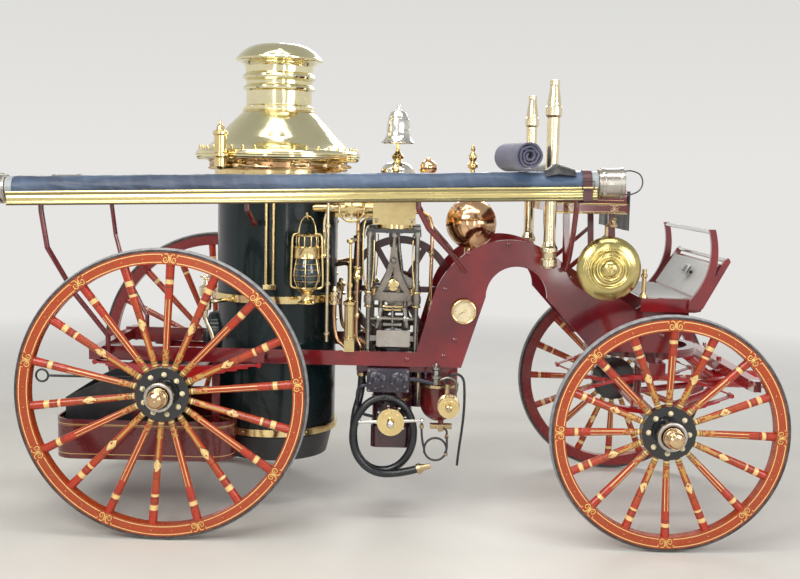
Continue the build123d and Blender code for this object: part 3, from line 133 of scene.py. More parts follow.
def bump(tree, height, depth, strength=1.0, under=None):
    node = tree.nodes.new("ShaderNodeBump")
    node.inputs["Strength"].default_value = strength
    node.inputs["Distance"].default_value = depth
    tree.links.new(height, node.inputs["Height"])
    if under is not None:
        tree.links.new(under, node.inputs["Normal"])
    return node.outputs["Normal"]


# an edge-rounding normal, so that cut edges catch the light
def softEdge(tree, radius):
    node = tree.nodes.new("ShaderNodeBevel")
    node.samples = 4
    node.inputs["Radius"].default_value = radius
    return node.outputs["Normal"]


def startMaterial(name, **sockets):
    material = bpy.data.materials.new(name)
    material.use_nodes = True
    tree = material.node_tree
    shader = tree.nodes["Principled BSDF"]
    for socket, value in sockets.items():
        shader.inputs[socket.replace("_", " ")].default_value = value
    return material, tree, shader


def feed(tree, shader, **sockets):
    for socket, value in sockets.items():
        tree.links.new(value, shader.inputs[socket.replace("_", " ")])


# roughness that wanders between two values
def roughen(tree, shader, scale, detail, low, high, top=0.75):
    feed(tree, shader, Roughness=spread(tree, clouds(tree, scale, detail), 0.3, top, low, high))


# coach paint under varnish: slight unevenness of colour, dust in the hollows, soft edges
def coachPaint(name, colour, shade, roughness=0.26, coat=0.55, edge=0.0022):
    material, tree, shader = startMaterial(name, Coat_Weight=coat, Coat_Roughness=0.08)
    patches = spread(tree, clouds(tree, 3.1), 0.35, 0.7, 0, 1)
    grain = spread(tree, clouds(tree, 46, 6), 0.42, 0.72, 0, 0.25)
    body = mixColour(tree, patches, colour, shade)
    body = mixColour(tree, grain, body, [channel * 0.62 for channel in colour])
    feed(tree, shader, Base_Color=body)
    roughen(tree, shader, 9, 5, roughness * 0.75, roughness * 1.5)
    ripple = bump(tree, clouds(tree, 34, 2), 0.0009, 0.35, softEdge(tree, edge))
    feed(tree, shader, Normal=ripple)
    return material


# hand-polished sheet or casting: shallow dents, rubbing marks and a little tarnish
def brightMetal(name, colour, stain, roughness=0.14, dent=0.0016, dentScale=9, stainShare=0.5, edge=0.0016):
    material, tree, shader = startMaterial(name, Metallic=1.0)
    tarnish = spread(tree, clouds(tree, 5.5, 7, 0.62), 0.46, 0.78, 0, stainShare)
    spots = spread(tree, clouds(tree, 90, 3), 0.62, 0.8, 0, stainShare * 0.7)
    body = mixColour(tree, tarnish, colour, stain)
    body = mixColour(tree, spots, body, [channel * 0.6 for channel in stain])
    feed(tree, shader, Base_Color=body)
    rubbed = calc(tree, "ADD", spread(tree, clouds(tree, 7, 6), 0.3, 0.75, roughness * 0.6, roughness * 1.5),
                  calc(tree, "MULTIPLY", tarnish, 0.22))
    feed(tree, shader, Roughness=rubbed)
    waves = bump(tree, clouds(tree, dentScale, 1, 0.4), dent, 0.6, softEdge(tree, edge))
    marks = bump(tree, clouds(tree, 160, 2, 0.5, (1, 1, 0.25)), 0.00012, 0.4, waves)
    feed(tree, shader, Normal=marks)
    return material


# painted or bare cast iron, a little pitted
def castIron(name, colour, worn, roughness=0.38, pit=0.0006):
    material, tree, shader = startMaterial(name, Coat_Weight=0.25, Coat_Roughness=0.2)
    wear = spread(tree, clouds(tree, 14, 8, 0.65), 0.55, 0.75, 0, 0.7)
    feed(tree, shader, Base_Color=mixColour(tree, wear, colour, worn))
    roughen(tree, shader, 11, 5, roughness * 0.8, roughness * 1.5)
    feed(tree, shader, Normal=bump(tree, clouds(tree, 210, 4), pit, 0.5, softEdge(tree, 0.002)))
    return material


brass = brightMetal("polished_brass", (0.84, 0.66, 0.33), (0.50, 0.34, 0.13))
domeBrass = brightMetal("dome_brass", (0.86, 0.78, 0.50), (0.58, 0.54, 0.30), 0.10, 0.0085, 7.5, 0.5)
wornIron = brightMetal("worn_iron", (0.34, 0.30, 0.26), (0.075, 0.055, 0.05), 0.30, 0.0024, 34, 1.0)
paleBrass = brightMetal("pale_brass", (0.86, 0.75, 0.52), (0.58, 0.44, 0.26), 0.16, 0.0012, 16, 0.5)
agedBrass = brightMetal("aged_brass", (0.62, 0.47, 0.27), (0.32, 0.24, 0.16), 0.26, 0.0012, 14, 0.8)
copper = brightMetal("polished_copper", (0.80, 0.50, 0.29), (0.45, 0.24, 0.12), 0.15, 0.0016, 8, 0.6)
steel = brightMetal("bright_steel", (0.36, 0.35, 0.32), (0.11, 0.095, 0.08), 0.24, 0.0008, 26, 0.95)
darkSteel = brightMetal("oiled_steel", (0.115, 0.115, 0.12), (0.035, 0.03, 0.03), 0.28, 0.0008, 18, 0.8)
nickel = brightMetal("nickel_plate", (0.78, 0.76, 0.73), (0.52, 0.49, 0.44), 0.12, 0.0010, 12, 0.4)
pewter = brightMetal("dull_nickel", (0.52, 0.49, 0.45), (0.34, 0.25, 0.19), 0.28, 0.0010, 9, 0.7)
maroon = coachPaint("maroon_paint", (0.225, 0.011, 0.015), (0.085, 0.004, 0.009), 0.15, 0.85)
red = coachPaint("red_paint", (0.46, 0.018, 0.018), (0.33, 0.012, 0.014), 0.18, 0.8)
blackIron = castIron("black_iron", (0.022, 0.022, 0.025), (0.07, 0.065, 0.06))
print("paints and metals mixed")

# mesh makers: small forms are gathered in one mesh and finished as one piece


def finishMesh(shape, name, material, body, angle=38):
    mesh = bpy.data.meshes.new(name)
    bmesh.ops.recalc_face_normals(shape, faces=shape.faces)
    shape.to_mesh(mesh)
    shape.free()
    for polygon in mesh.polygons:
        polygon.use_smooth = True
    mesh.set_sharp_from_angle(angle=math.radians(angle))
    for one in material if isinstance(material, (list, tuple)) else (material,):
        mesh.materials.append(one)
    piece = bpy.data.objects.new(name, mesh)
    bpy.context.scene.collection.objects.link(piece)
    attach(piece, body)
    return piece


def frameAlong(direction):
    direction = Vector(direction).normalized()
    helper = upward if abs(direction.z) < 0.9 else forward
    across = direction.cross(helper).normalized()
    return across, across.cross(direction).normalized(), direction


# points of a circle about a centre, in the plane of two directions
def circle(centre, radius, count, across=forward, over=upward, first=0.0):
    turns = [first + 2 * math.pi * k / count for k in range(count)]
    return [Vector(centre) + (across * math.cos(turn) + over * math.sin(turn)) * radius for turn in turns]


# turns a profile of (radius, height) pairs about an axis
def addTurned(shape, profile, origin, axis, steps=32, index=0):
    across, over, along = frameAlong(axis)
    rings = []
    for radius, height in profile:
        centre = Vector(origin) + along * height
        if radius < 1e-6:
            rings.append([shape.verts.new(centre)])
            continue
        rings.append([shape.verts.new(centre + (across * math.cos(turn) + over * math.sin(turn)) * radius)
                      for turn in (2 * math.pi * k / steps for k in range(steps))])
    for low, high in zip(rings, rings[1:]):
        for k in range(steps):
            after = (k + 1) % steps
            corners = [low[k % len(low)], low[after % len(low)], high[after % len(high)], high[k % len(high)]]
            unique = list(dict.fromkeys(corners))
            if len(unique) > 2:
                shape.faces.new(unique).material_index = index
    return rings


# sweeps a round or a given section along points
def addTube(shape, points, radius, sidesCount=10, closed=False, index=0, section=None, capped=True):
    points = [Vector(point) for point in points]
    count = len(points)
    rings = []
    lastAcross = None
    for k, point in enumerate(points):
        before = points[(k - 1) % count] if closed or k else point
        after = points[(k + 1) % count] if closed or k < count - 1 else point
        along = (after - before).normalized()
        if lastAcross is None:
            across = frameAlong(along)[0]
        else:
            across = (lastAcross - along * lastAcross.dot(along)).normalized()
        lastAcross = across
        over = along.cross(across)
        size = radius[k] if isinstance(radius, (list, tuple)) else radius
        outline = section or [(math.cos(2 * math.pi * j / sidesCount), math.sin(2 * math.pi * j / sidesCount))
                              for j in range(sidesCount)]
        rings.append([shape.verts.new(point + (across * a + over * b) * size) for a, b in outline])
    pairs = list(zip(rings, rings[1:])) + ([(rings[-1], rings[0])] if closed else [])
    for low, high in pairs:
        for j in range(len(low)):
            after = (j + 1) % len(low)
            shape.faces.new((low[j], low[after], high[after], high[j])).material_index = index
    if capped and not closed:
        shape.faces.new(rings[0][::-1]).material_index = index
        shape.faces.new(rings[-1]).material_index = index


# a block with eased edges
def addBlock(shape, low, high, ease=0.002, index=0, turn=None, about=None):
    made = bmesh.ops.create_cube(shape, size=1.0)["verts"]
    low, high = Vector(low), Vector(high)
    for vert in made:
        vert.co = Vector([(low[k] + high[k]) / 2 + vert.co[k] * (high[k] - low[k]) for k in range(3)])
    if turn is not None:
        centre = Vector(about) if about is not None else (low + high) / 2
        bmesh.ops.rotate(shape, verts=made, cent=centre, matrix=turn)
    faces = {face for vert in made for face in vert.link_faces}
    for face in faces:
        face.material_index = index
    if ease:
        edges = list({edge for vert in made for edge in vert.link_edges})
        bmesh.ops.bevel(shape, geom=edges, offset=ease, segments=2, profile=0.6, affect="EDGES")


def addBall(shape, centre, radius, index=0, squash=(1, 1, 1), steps=16):
    made = bmesh.ops.create_uvsphere(shape, u_segments=steps, v_segments=steps // 2, radius=radius)["verts"]
    for vert in made:
        vert.co = Vector(centre) + Vector([vert.co[k] * squash[k] for k in range(3)])
    for face in {face for vert in made for face in vert.link_faces}:
        face.material_index = index


def addNut(shape, centre, axis, width, height, index=0):
    flat = width / 2
    profile = [(0, -0.0005), (flat, -0.0005), (flat, height * 0.9), (flat * 0.88, height), (0, height)]
    addTurned(shape, profile, centre, axis, 6, index)


def smoothLine(points, steps=8, closed=False):
    points = [Vector(point) for point in points]
    count = len(points)
    spans = count if closed else count - 1
    line = []
    for k in range(spans):
        if closed:
            a, b, c, d = (points[(k + j) % count] for j in (-1, 0, 1, 2))
        else:
            b, c = points[k], points[k + 1]
            a = points[k - 1] if k else b * 2 - c
            d = points[k + 2] if k + 2 < count else c * 2 - b
        for j in range(steps):
            t = j / steps
            line.append(0.5 * ((2 * b) + (c - a) * t + (2 * a - 5 * b + 4 * c - d) * t ** 2
                               + (3 * b - a - 3 * c + d) * t ** 3))
    if not closed:
        line.append(points[-1])
    return line


# a round pipe bent smoothly through its points
def addPipe(shape, points, radius, around=12, steps=6, index=0):
    addTube(shape, smoothLine(points, steps), radius, around, index=index)


def dress(name, *materials, rule=None):
    mesh = nodes[name].data
    mesh.materials.clear()
    for material in materials:
        mesh.materials.append(material)
    for polygon in mesh.polygons:
        polygon.material_index = rule(polygon.center) if rule else 0


# hoses that hang free: the priming hose in its coil, and the thin jet hose


def hoseRubber(name, colour, dusty, ribs):
    material, tree, shader = startMaterial(name)
    shader.inputs["Specular IOR Level"].default_value = 0.6
    dust = spread(tree, clouds(tree, 24, 7, 0.65), 0.50, 0.80, 0, 0.7)
    feed(tree, shader, Base_Color=mixColour(tree, dust, colour, dusty))
    roughen(tree, shader, 18, 5, 0.20, 0.38, 0.7)
    cloth = bump(tree, clouds(tree, 420, 2), 0.0005, ribs)
    feed(tree, shader, Normal=bump(tree, clouds(tree, 30, 3), 0.0016, 0.4, cloth))
    return material


primingHose = {
    "diameter": 0.043, "length": 2.017, "stiffness": "medium", "end": "fitting", "with": ["priming_nozzle"],
    "route": [(-0.150, -0.330, 0.800), (-0.150, -0.330, 0.712), (-0.188, -0.390, 0.585), (-0.190, -0.390, 0.392),
              (-0.098, -0.390, 0.278), (0.044, -0.392, 0.280), (0.142, -0.396, 0.396), (0.147, -0.404, 0.570),
              (0.054, -0.414, 0.694), (-0.092, -0.426, 0.695), (-0.190, -0.438, 0.566), (-0.188, -0.442, 0.396),
              (-0.094, -0.444, 0.282), (0.042, -0.446, 0.268), (0.168, -0.448, 0.304)],
}
jetHose = {
    "diameter": 0.014, "length": 0.623, "stiffness": "medium", "end": "bare", "with": [],
    "route": [(0.325, -0.405, 0.775), (0.325, -0.405, 0.804), (0.342, -0.411, 0.828), (0.370, -0.416, 0.838),
              (0.398, -0.421, 0.829), (0.416, -0.426, 0.805), (0.420, -0.433, 0.748), (0.421, -0.440, 0.650),
              (0.411, -0.445, 0.530), (0.396, -0.447, 0.420), (0.388, -0.448, 0.330)],
}


def hangHose(name, node, settings, material):
    curve = bpy.data.curves.new(name, "CURVE")
    curve.dimensions = "3D"
    curve.bevel_depth = settings["diameter"] / 2
    curve.bevel_resolution = 6
    curve.resolution_u = 14
    curve.use_fill_caps = True
    spline = curve.splines.new("NURBS")
    spline.points.add(len(settings["route"]) - 1)
    for point, spot in zip(spline.points, settings["route"]):
        point.co = (*spot, 1)
    spline.order_u = 3
    spline.use_endpoint_u = True
    curve.materials.append(material)
    piece = bpy.data.objects.new(name, curve)
    bpy.context.scene.collection.objects.link(piece)
    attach(piece, "chassis")
    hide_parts(node)
    return piece


blackHose = hoseRubber("black_hose", (0.009, 0.010, 0.014), (0.040, 0.040, 0.044), 0.5)
hangHose("coiled_hose", "priming_hose", primingHose, blackHose)
hangHose("thin_hose", "jet_hose", jetHose, blackHose)
dress("priming_nozzle", agedBrass)
print("loose hoses hung")

# wheels: vermilion with cream lines, gold scrolls, black hubs and brass caps

wheelSets = {
    "rear": {"x": -1.160, "radius": 0.762, "spokes": 18, "first": 86, "nuts": 9, "ornaments": 9},
    "front": {"x": 1.460, "radius": 0.620, "spokes": 16, "first": 90, "nuts": 8, "ornaments": 8},
}
# shadedInnerRed is painted shade: a darker red for the felloe's inner face, turned away from the light
wheelPaint = {
    "vermilion": (0.40, 0.050, 0.004), "spokeRed": (0.44, 0.029, 0.005), "shadedInnerRed": (0.22, 0.010, 0.012),
    "cream": (0.80, 0.57, 0.23), "ochre": (0.50, 0.28, 0.06), "umber": (0.10, 0.035, 0.015),
    "felloe": 0.082, "lines": (0.0315, 0.0725), "lineWidth": 0.0042, "stripeGap": 0.0085, "ornamentHalf": 0.037,
}
# places on the wheels in metres: out from the engine's middle plane (face, nutFace, ringFace, barrelEnd), out from
# the hub's axis (nutCircle, ringCircle, hubRadius) or in from the outer radius (ornamentInset, tread)
wheelTrim = {"face": 0.8402, "ornamentInset": 0.052, "nutFace": 0.8, "nutCircle": 0.105, "ringFace": 0.884,
             "ringCircle": 0.0655, "barrelEnd": 0.8765, "hubRadius": 0.1415, "tread": 0.0095}


def paintWheel(kind, side, sign):
    size = wheelSets[kind]
    radius, count = size["radius"], size["spokes"]
    material, tree, shader = startMaterial(f"{kind}_wheel_paint_{side}", Coat_Weight=0.32, Coat_Roughness=0.06)
    x, y, z = axes(tree)
    dx = calc(tree, "SUBTRACT", x, size["x"])
    dz = calc(tree, "SUBTRACT", z, radius)
    reach = calc(tree, "SQRT", calc(tree, "ADD", calc(tree, "MULTIPLY", dx, dx), calc(tree, "MULTIPLY", dz, dz)))
    turn = calc(tree, "MULTIPLY", calc(tree, "ARCTAN2", dz, dx), count / (2 * math.pi))
    turn = calc(tree, "ADD", turn, count - size["first"] * count / 360 + 0.5)
    offCentre = calc(tree, "SUBTRACT", calc(tree, "FRACT", turn), 0.5)
    across = calc(tree, "ABSOLUTE",
                  calc(tree, "MULTIPLY", calc(tree, "MULTIPLY", offCentre, 2 * math.pi / count), reach))
    odd = calc(tree, "MODULO", calc(tree, "FLOOR", turn), 2)
    even = calc(tree, "SUBTRACT", 1.0, odd)
    depth = calc(tree, "MULTIPLY", y, sign)

    mottle = spread(tree, clouds(tree, 6, 5), 0.35, 0.7, 0, 1)
    rimColour = mixColour(tree, mottle, wheelPaint["vermilion"], [c * 0.86 for c in wheelPaint["vermilion"]])
    spokeColour = mixColour(tree, mottle, wheelPaint["spokeRed"], [c * 0.84 for c in wheelPaint["spokeRed"]])
    # the striped length of a spoke is nearer to the rim's orange
    striped = between(tree, reach, radius * 0.30, radius * 0.66)
    spokeColour = mixColour(tree, calc(tree, "MULTIPLY", striped, 0.75), spokeColour, rimColour)
    felloe = radius - wheelPaint["felloe"] - 0.0005
    body = mixColour(tree, calc(tree, "GREATER_THAN", reach, felloe), spokeColour, rimColour)

    def lay(colour, mask):
        nonlocal body
        body = mixColour(tree, mask, body, colour)

    def both(*masks):
        whole = masks[0]
        for mask in masks[1:]:
            whole = calc(tree, "MULTIPLY", whole, mask)
        return whole

    cream, ochre, umber = wheelPaint["cream"], wheelPaint["ochre"], wheelPaint["umber"]
    thin, gap = wheelPaint["lineWidth"] / 2, wheelPaint["stripeGap"]
    outerFace = calc(tree, "GREATER_THAN", depth, wheelTrim["face"] - 0.0017)
    # the two lines of the rim stop on each side of a gold ornament
    ornament = calc(tree, "MULTIPLY", calc(tree, "ARCTAN2", dz, dx), size["ornaments"] / (2 * math.pi))
    ornament = calc(tree, "ADD", ornament, size["ornaments"] * (1 - size["first"] / 360) + 0.5)
    fromOrnament = calc(tree, "ABSOLUTE", calc(tree, "SUBTRACT", calc(tree, "FRACT", ornament), 0.5))
    fromOrnament = calc(tree, "MULTIPLY", calc(tree, "MULTIPLY", fromOrnament, 2 * math.pi / size["ornaments"]), reach)
    clear = calc(tree, "GREATER_THAN", fromOrnament, wheelPaint["ornamentHalf"])
    for inset in wheelPaint["lines"]:
        lay(cream, both(outerFace, clear, between(tree, reach, radius - inset - thin, radius - inset + thin)))
    onSpoke = calc(tree, "LESS_THAN", reach, felloe)
    # twin lines on every other spoke, a broad strip and a lozenge on the ones between
    lay(cream, both(even, onSpoke, between(tree, across, gap - thin * 0.8, gap + thin * 0.8),
                    between(tree, reach, 0.235, radius * 0.655)))
    lay(ochre, both(odd, onSpoke, calc(tree, "LESS_THAN", across, 0.0062), between(tree, reach, 0.2, radius * 0.44)))
    lozenge = calc(tree, "ABSOLUTE", calc(tree, "SUBTRACT", reach, radius * 0.495))
    lozenge = calc(tree, "ADD", calc(tree, "DIVIDE", lozenge, radius * 0.056), calc(tree, "DIVIDE", across, 0.026))
    # the gold leaf of the lozenges and collars is rubbed through in places
    rubbed = spread(tree, clouds(tree, 55, 4, 0.6), 0.56, 0.60, 1, 0)
    lay(cream, both(odd, onSpoke, rubbed, calc(tree, "LESS_THAN", lozenge, 0.92)))
    lay(umber, both(odd, onSpoke, between(tree, lozenge, 0.92, 1.06)))
    for low, high, colour in ((0.76, 0.79, cream), (0.735, 0.742, umber), (0.80, 0.806, umber)):
        lay(colour, both(even, between(tree, reach, radius * low, radius * high)))
    for low, high, colour in ((0.765, 0.80, cream), (0.745, 0.752, umber), (0.69, 0.708, cream), (0.715, 0.722, umber),
                              (0.58, 0.586, umber)):
        lay(colour, both(odd, between(tree, reach, radius * low, radius * high)))
    # gilded collars next to the hub, shaded like turned rings
    scroll = spread(tree, clouds(tree, 70, 2), 0.46, 0.5, 0, 1)
    lay(ochre, both(calc(tree, "LESS_THAN", reach, 0.172)))
    lay(ochre, both(scroll, between(tree, reach, 0.172, 0.235)))
    lay(cream, between(tree, reach, 0.150, 0.158))
    for low in (0.1445, 0.162, 0.174):
        lay(umber, between(tree, reach, low, low + 0.0035))
    # the felloe's inner face gets a darker red, painted shade for the side turned away from the light
    shadedInnerFace = calc(tree, "LESS_THAN", depth, 0.781)
    lay(wheelPaint["shadedInnerRed"], both(shadedInnerFace, calc(tree, "GREATER_THAN", reach, felloe)))
    dust = spread(tree, clouds(tree, 40, 6), 0.5, 0.78, 0, 0.3)
    body = mixColour(tree, dust, body, (0.24, 0.08, 0.03))
    feed(tree, shader, Base_Color=body)
    roughen(tree, shader, 12, 5, 0.2, 0.36)
    feed(tree, shader, Normal=bump(tree, clouds(tree, 28, 3, 0.5), 0.0008, 0.35, softEdge(tree, 0.003)))
    return material


def treadRubber():
    material, tree, shader = startMaterial("tyre_rubber")
    shader.inputs["Specular IOR Level"].default_value = 0.35
    scuffs = spread(tree, clouds(tree, 22, 7, 0.65), 0.42, 0.72, 0, 1)
    feed(tree, shader, Base_Color=mixColour(tree, scuffs, (0.045, 0.038, 0.036), (0.12, 0.105, 0.10)))
    roughen(tree, shader, 30, 4, 0.5, 0.8, 0.7)
    feed(tree, shader, Normal=bump(tree, clouds(tree, 120, 4), 0.0006, 0.6, softEdge(tree, 0.004)))
    return material


def wornTread():
    material, tree, shader = startMaterial("worn_tread")
    scuffs = spread(tree, clouds(tree, 30, 7, 0.65), 0.4, 0.7, 0, 1)
    feed(tree, shader, Base_Color=mixColour(tree, scuffs, (0.34, 0.34, 0.36), (0.20, 0.19, 0.20)))
    roughen(tree, shader, 30, 4, 0.6, 0.85, 0.7)
    feed(tree, shader, Normal=bump(tree, clouds(tree, 160, 4), 0.0005, 0.7))
    return material


hubBlack = coachPaint("hub_black", (0.006, 0.007, 0.009), (0.014, 0.014, 0.014), 0.12, 0.6)
capBrass = brightMetal("cap_brass", (0.70, 0.50, 0.29), (0.36, 0.21, 0.11), 0.17, 0.0010, 14, 0.8)
goldLeaf = brightMetal("gold_leaf", (0.90, 0.66, 0.24), (0.62, 0.40, 0.12), 0.34, 0.0002, 60, 0.4)
creamPaint = coachPaint("cream_enamel", (0.86, 0.76, 0.52), (0.74, 0.60, 0.36), 0.22, 0.5, 0.001)
sideRubber, treadGrey = treadRubber(), wornTread()

# half of the rim's gold ornament, in millimetres to the side of its middle and out from it
scrollShape = {"width": 0.0052, "height": 0.0008, "dot": 0.0052, "line": (
    (27, 19), (20, 23), (11, 20), (6, 11), (5.5, -3), (9, -15), (18, -21), (28, -17), (31, -6), (27, 3), (19, 4),
    (14, -3), (16, -10), (22, -10))}


# one painted double scroll, drawn flat in a plane given by two directions
def addScroll(shape, centre, along, outward, normal, scale=1.0):
    for hand in (-1, 1):
        line = smoothLine([centre + (along * hand * a + outward * b) * scale / 1000 for a, b in scrollShape["line"]], 4)
        last = len(line) - 1
        widths = [scale * scrollShape["width"] * (0.55 + 0.45 * math.sin(math.pi * min(1, 0.15 + k / last)))
                  for k in range(last + 1)]
        addRibbon(shape, line, normal, widths, scrollShape["height"])
        addTurned(shape, [(0.0032 * scale, -0.0004), (0.0032 * scale, 0.0006), (0, 0.001)],
                  centre + (along * hand * 0.0385 + outward * 0.012) * scale, normal, 8)
    addRibbon(shape, [centre + outward * t * scale for t in (-0.021, -0.008, 0.006, 0.020)], normal,
              [0.0025 * scale, 0.005 * scale, 0.004 * scale, 0.0015 * scale], scrollShape["height"])


# a flat raised ribbon on a surface
def addRibbon(shape, line, normal, widths, height, index=0):
    rows = []
    for k, point in enumerate(line):
        along = (line[min(k + 1, len(line) - 1)] - line[max(k - 1, 0)]).normalized()
        across = along.cross(normal).normalized()
        half = widths[k] / 2 if isinstance(widths, (list, tuple)) else widths / 2
        rows.append([shape.verts.new(point + across * a * half + normal * b * height)
                     for a, b in ((-1, -0.4), (-0.75, 1), (0.75, 1), (1, -0.4))])
    for low, high in zip(rows, rows[1:]):
        for j in range(3):
            shape.faces.new((low[j], low[j + 1], high[j + 1], high[j])).material_index = index
    shape.faces.new(rows[0][::-1]).material_index = index
    shape.faces.new(rows[-1]).material_index = index


def dressWheel(kind, side, sign):
    size = wheelSets[kind]
    node = f"{kind}_wheel_{side}"
    radius, centre = size["radius"], Vector((size["x"], 0, size["radius"]))
    outside = leftward * sign

    def rule(spot):
        reach = math.hypot(spot.x - centre.x, spot.z - centre.z)
        if abs(spot.y) > wheelTrim["barrelEnd"]:
            return 2
        return 1 if reach < wheelTrim["hubRadius"] else 0

    def tyreRule(spot):
        return 1 if math.hypot(spot.x - centre.x, spot.z - centre.z) > radius - wheelTrim["tread"] else 0

    dress(node, paintWheel(kind, side, sign), hubBlack, capBrass, rule=rule)
    dress(f"{kind}_tyre_{side}", sideRubber, treadGrey, rule=tyreRule)

    ornaments = bmesh.new()
    face = outside * wheelTrim["face"]
    ring = radius - wheelTrim["ornamentInset"]
    pitch = 2 * math.pi / size["ornaments"]
    for k in range(size["ornaments"]):
        turn = math.radians(size["first"]) + k * pitch
        outward = Vector((math.cos(turn), 0, math.sin(turn)))
        addScroll(ornaments, centre + outward * ring + face, outward.cross(outside), outward, outside)
        for share in (0.28, 0.5, 0.72):
            dotTurn = turn + pitch * share
            spot = centre + Vector((math.cos(dotTurn), 0, math.sin(dotTurn))) * ring + face
            dot = scrollShape["dot"] * (1.0 if share == 0.5 else 0.7)
            addTurned(ornaments, [(dot / 2, -0.0004), (dot / 2, 0.0006), (0, 0.001)], spot, outside, 10)
    finishMesh(ornaments, f"{kind}_scrolls_{side}", goldLeaf, node)

    nuts = bmesh.new()
    for spot in circle(centre + outside * wheelTrim["nutFace"], wheelTrim["nutCircle"], size["nuts"],
                       first=math.radians(size["first"] - 2)):
        addTurned(nuts, [(0.0140, -0.0005), (0.0140, 0.003), (0.0112, 0.004), (0.0108, 0.013), (0.0080, 0.019),
                         (0.0035, 0.0225), (0, 0.0235)], spot, outside, 14)
    finishMesh(nuts, f"{kind}_hub_nuts_{side}", creamPaint, node)

    # the nickel ring at the barrel's end and the turned beads of the brass cap
    rings = bmesh.new()
    addTurned(rings, [(0.0725, 0.862), (0.0765, 0.864), (0.0770, 0.874), (0.0745, 0.882), (0.0680, 0.885),
                      (0.0600, 0.884), (0.0585, 0.876)], centre, outside, 40, 0)
    for depth, out in ((0.888, 0.0488), (0.912, 0.0482), (0.927, 0.0440), (0.949, 0.0442)):
        addTube(rings, circle(centre + outside * depth, out, 36), 0.0022, 8, closed=True, index=1)
    for spot in circle(centre + outside * wheelTrim["ringFace"], wheelTrim["ringCircle"], 8):
        addNut(rings, spot, outside, 0.0095, 0.005, 0)
    finishMesh(rings, f"{kind}_hub_rings_{side}", [pewter, capBrass], node)


for kind in wheelSets:
    for side, sign in sides:
        dressWheel(kind, side, sign)
print("wheels painted")

# frame, gear and irons


def linedPaint(name, colour, shade, gold, lines, roughness=0.26):
    material = coachPaint(name, colour, shade, roughness)
    tree = material.node_tree
    shader = tree.nodes["Principled BSDF"]
    body = shader.inputs["Base Color"].links[0].from_socket
    axis = axes(tree)
    for which, value, width in lines:
        body = mixColour(tree, between(tree, axis[which], value - width / 2, value + width / 2), body, gold)
    feed(tree, shader, Base_Color=body)
    return material


fuelBoxPaint = linedPaint("fuel_box_paint", (0.15, 0.010, 0.014), (0.10, 0.008, 0.012), (0.72, 0.48, 0.16),
                          [(2, 0.358, 0.004), (2, 0.523, 0.004), (2, 0.515, 0.0015)])
flywheelPaint = coachPaint("flywheel_paint", (0.085, 0.008, 0.012), (0.045, 0.006, 0.010), 0.2, 0.7)
pumpPaint = coachPaint("pump_paint", (0.070, 0.010, 0.016), (0.020, 0.012, 0.026), 0.22, 0.7)
chamberPaint = coachPaint("chamber_paint", (0.20, 0.014, 0.014), (0.10, 0.010, 0.014), 0.22, 0.7)

for name in ("crane_neck_right", "crane_neck_left", "frame_cross_members", "tray_irons", "driver_seat",
             "dash_rails", "turntable"):
    dress(name, maroon)
for name in ("rear_axle", "rear_springs", "front_axle", "front_springs", "hounds"):
    dress(name, red)
dress("doubletree", red, nickel, rule=lambda spot: 1 if abs(spot.y) > 0.6 else 0)
dress("fuel_platform", fuelBoxPaint)
dress("flywheel", flywheelPaint, steel,
      rule=lambda spot: 1 if math.hypot(spot.x - 0.05, spot.z - 1.257) > 0.306 or abs(spot.y) > 0.06 else 0)


# where the pump's colours change
pumpParts = {"chamber": (0.285, 0.205), "flange": (0.722, 0.754, 0.1055, 0.12), "ferrule": (0.3, -0.395, 0.71),
             "drain": (0.2, 0.522), "hoseExit": (-0.15, -0.33, 0.032, 0.8185), "chambersFrom": 0.172}


# brass on the chambers' flanges, the hose ferrules and the drain cocks, red on the chambers
def pumpRule(spot):
    low, high, inner, outer = pumpParts["flange"]
    fromX, toY, aboveZ = pumpParts["ferrule"]
    drainX, drainZ = pumpParts["drain"]
    exitX, exitY, reach, below = pumpParts["hoseExit"]
    fromChamber = math.hypot(spot.x - pumpParts["chamber"][0], abs(spot.y) - pumpParts["chamber"][1])
    flange = low < spot.z < high and inner < fromChamber < outer
    ferrule = spot.y < toY and spot.z > aboveZ and spot.x > fromX
    drain = spot.z < drainZ and spot.x > drainX
    hoseExit = abs(spot.y - exitY) < reach and abs(spot.x - exitX) < reach and spot.z < below
    if flange or ferrule or drain or hoseExit:
        return 2
    return 1 if spot.x > pumpParts["chambersFrom"] else 0


dress("pump_body", pumpPaint, chamberPaint, agedBrass, rule=pumpRule)
for name in ("coal_bunker", "ash_pan", "poker"):
    dress(name, blackIron)
print("frame and gear painted")

# boiler: dark enamelled jacket in brass bands, with a row of rivets on its seam

boilerJacket = {"green": (0.003, 0.011, 0.012), "sheen": (0.010, 0.022, 0.026), "radius": 0.345, "x": -0.670}


def jacketEnamel():
    material, tree, shader = startMaterial("boiler_jacket", Coat_Weight=0.18, Coat_Roughness=0.05)
    shader.inputs["Specular IOR Level"].default_value = 0.3
    smoke = spread(tree, clouds(tree, 4.2, 6), 0.35, 0.75, 0, 1)
    body = mixColour(tree, smoke, boilerJacket["green"], boilerJacket["sheen"])
    x, y, z = axes(tree)
    turn = calc(tree, "ARCTAN2", y, calc(tree, "SUBTRACT", x, boilerJacket["x"]))
    for seam in (-1.92, -0.35, 1.2, 2.75):
        body = mixColour(tree, between(tree, turn, seam, seam + 0.008), body, (0.004, 0.006, 0.006))
    soot = spread(tree, calc(tree, "ADD", z, calc(tree, "MULTIPLY", clouds(tree, 7, 4), 0.3)), 0.95, 0.62, 0, 0.6)
    body = mixColour(tree, soot, body, (0.012, 0.011, 0.010))
    feed(tree, shader, Base_Color=body)
    roughen(tree, shader, 8, 5, 0.16, 0.32)
    feed(tree, shader, Normal=bump(tree, clouds(tree, 5, 1, 0.4), 0.004, 0.45, softEdge(tree, 0.002)))
    return material


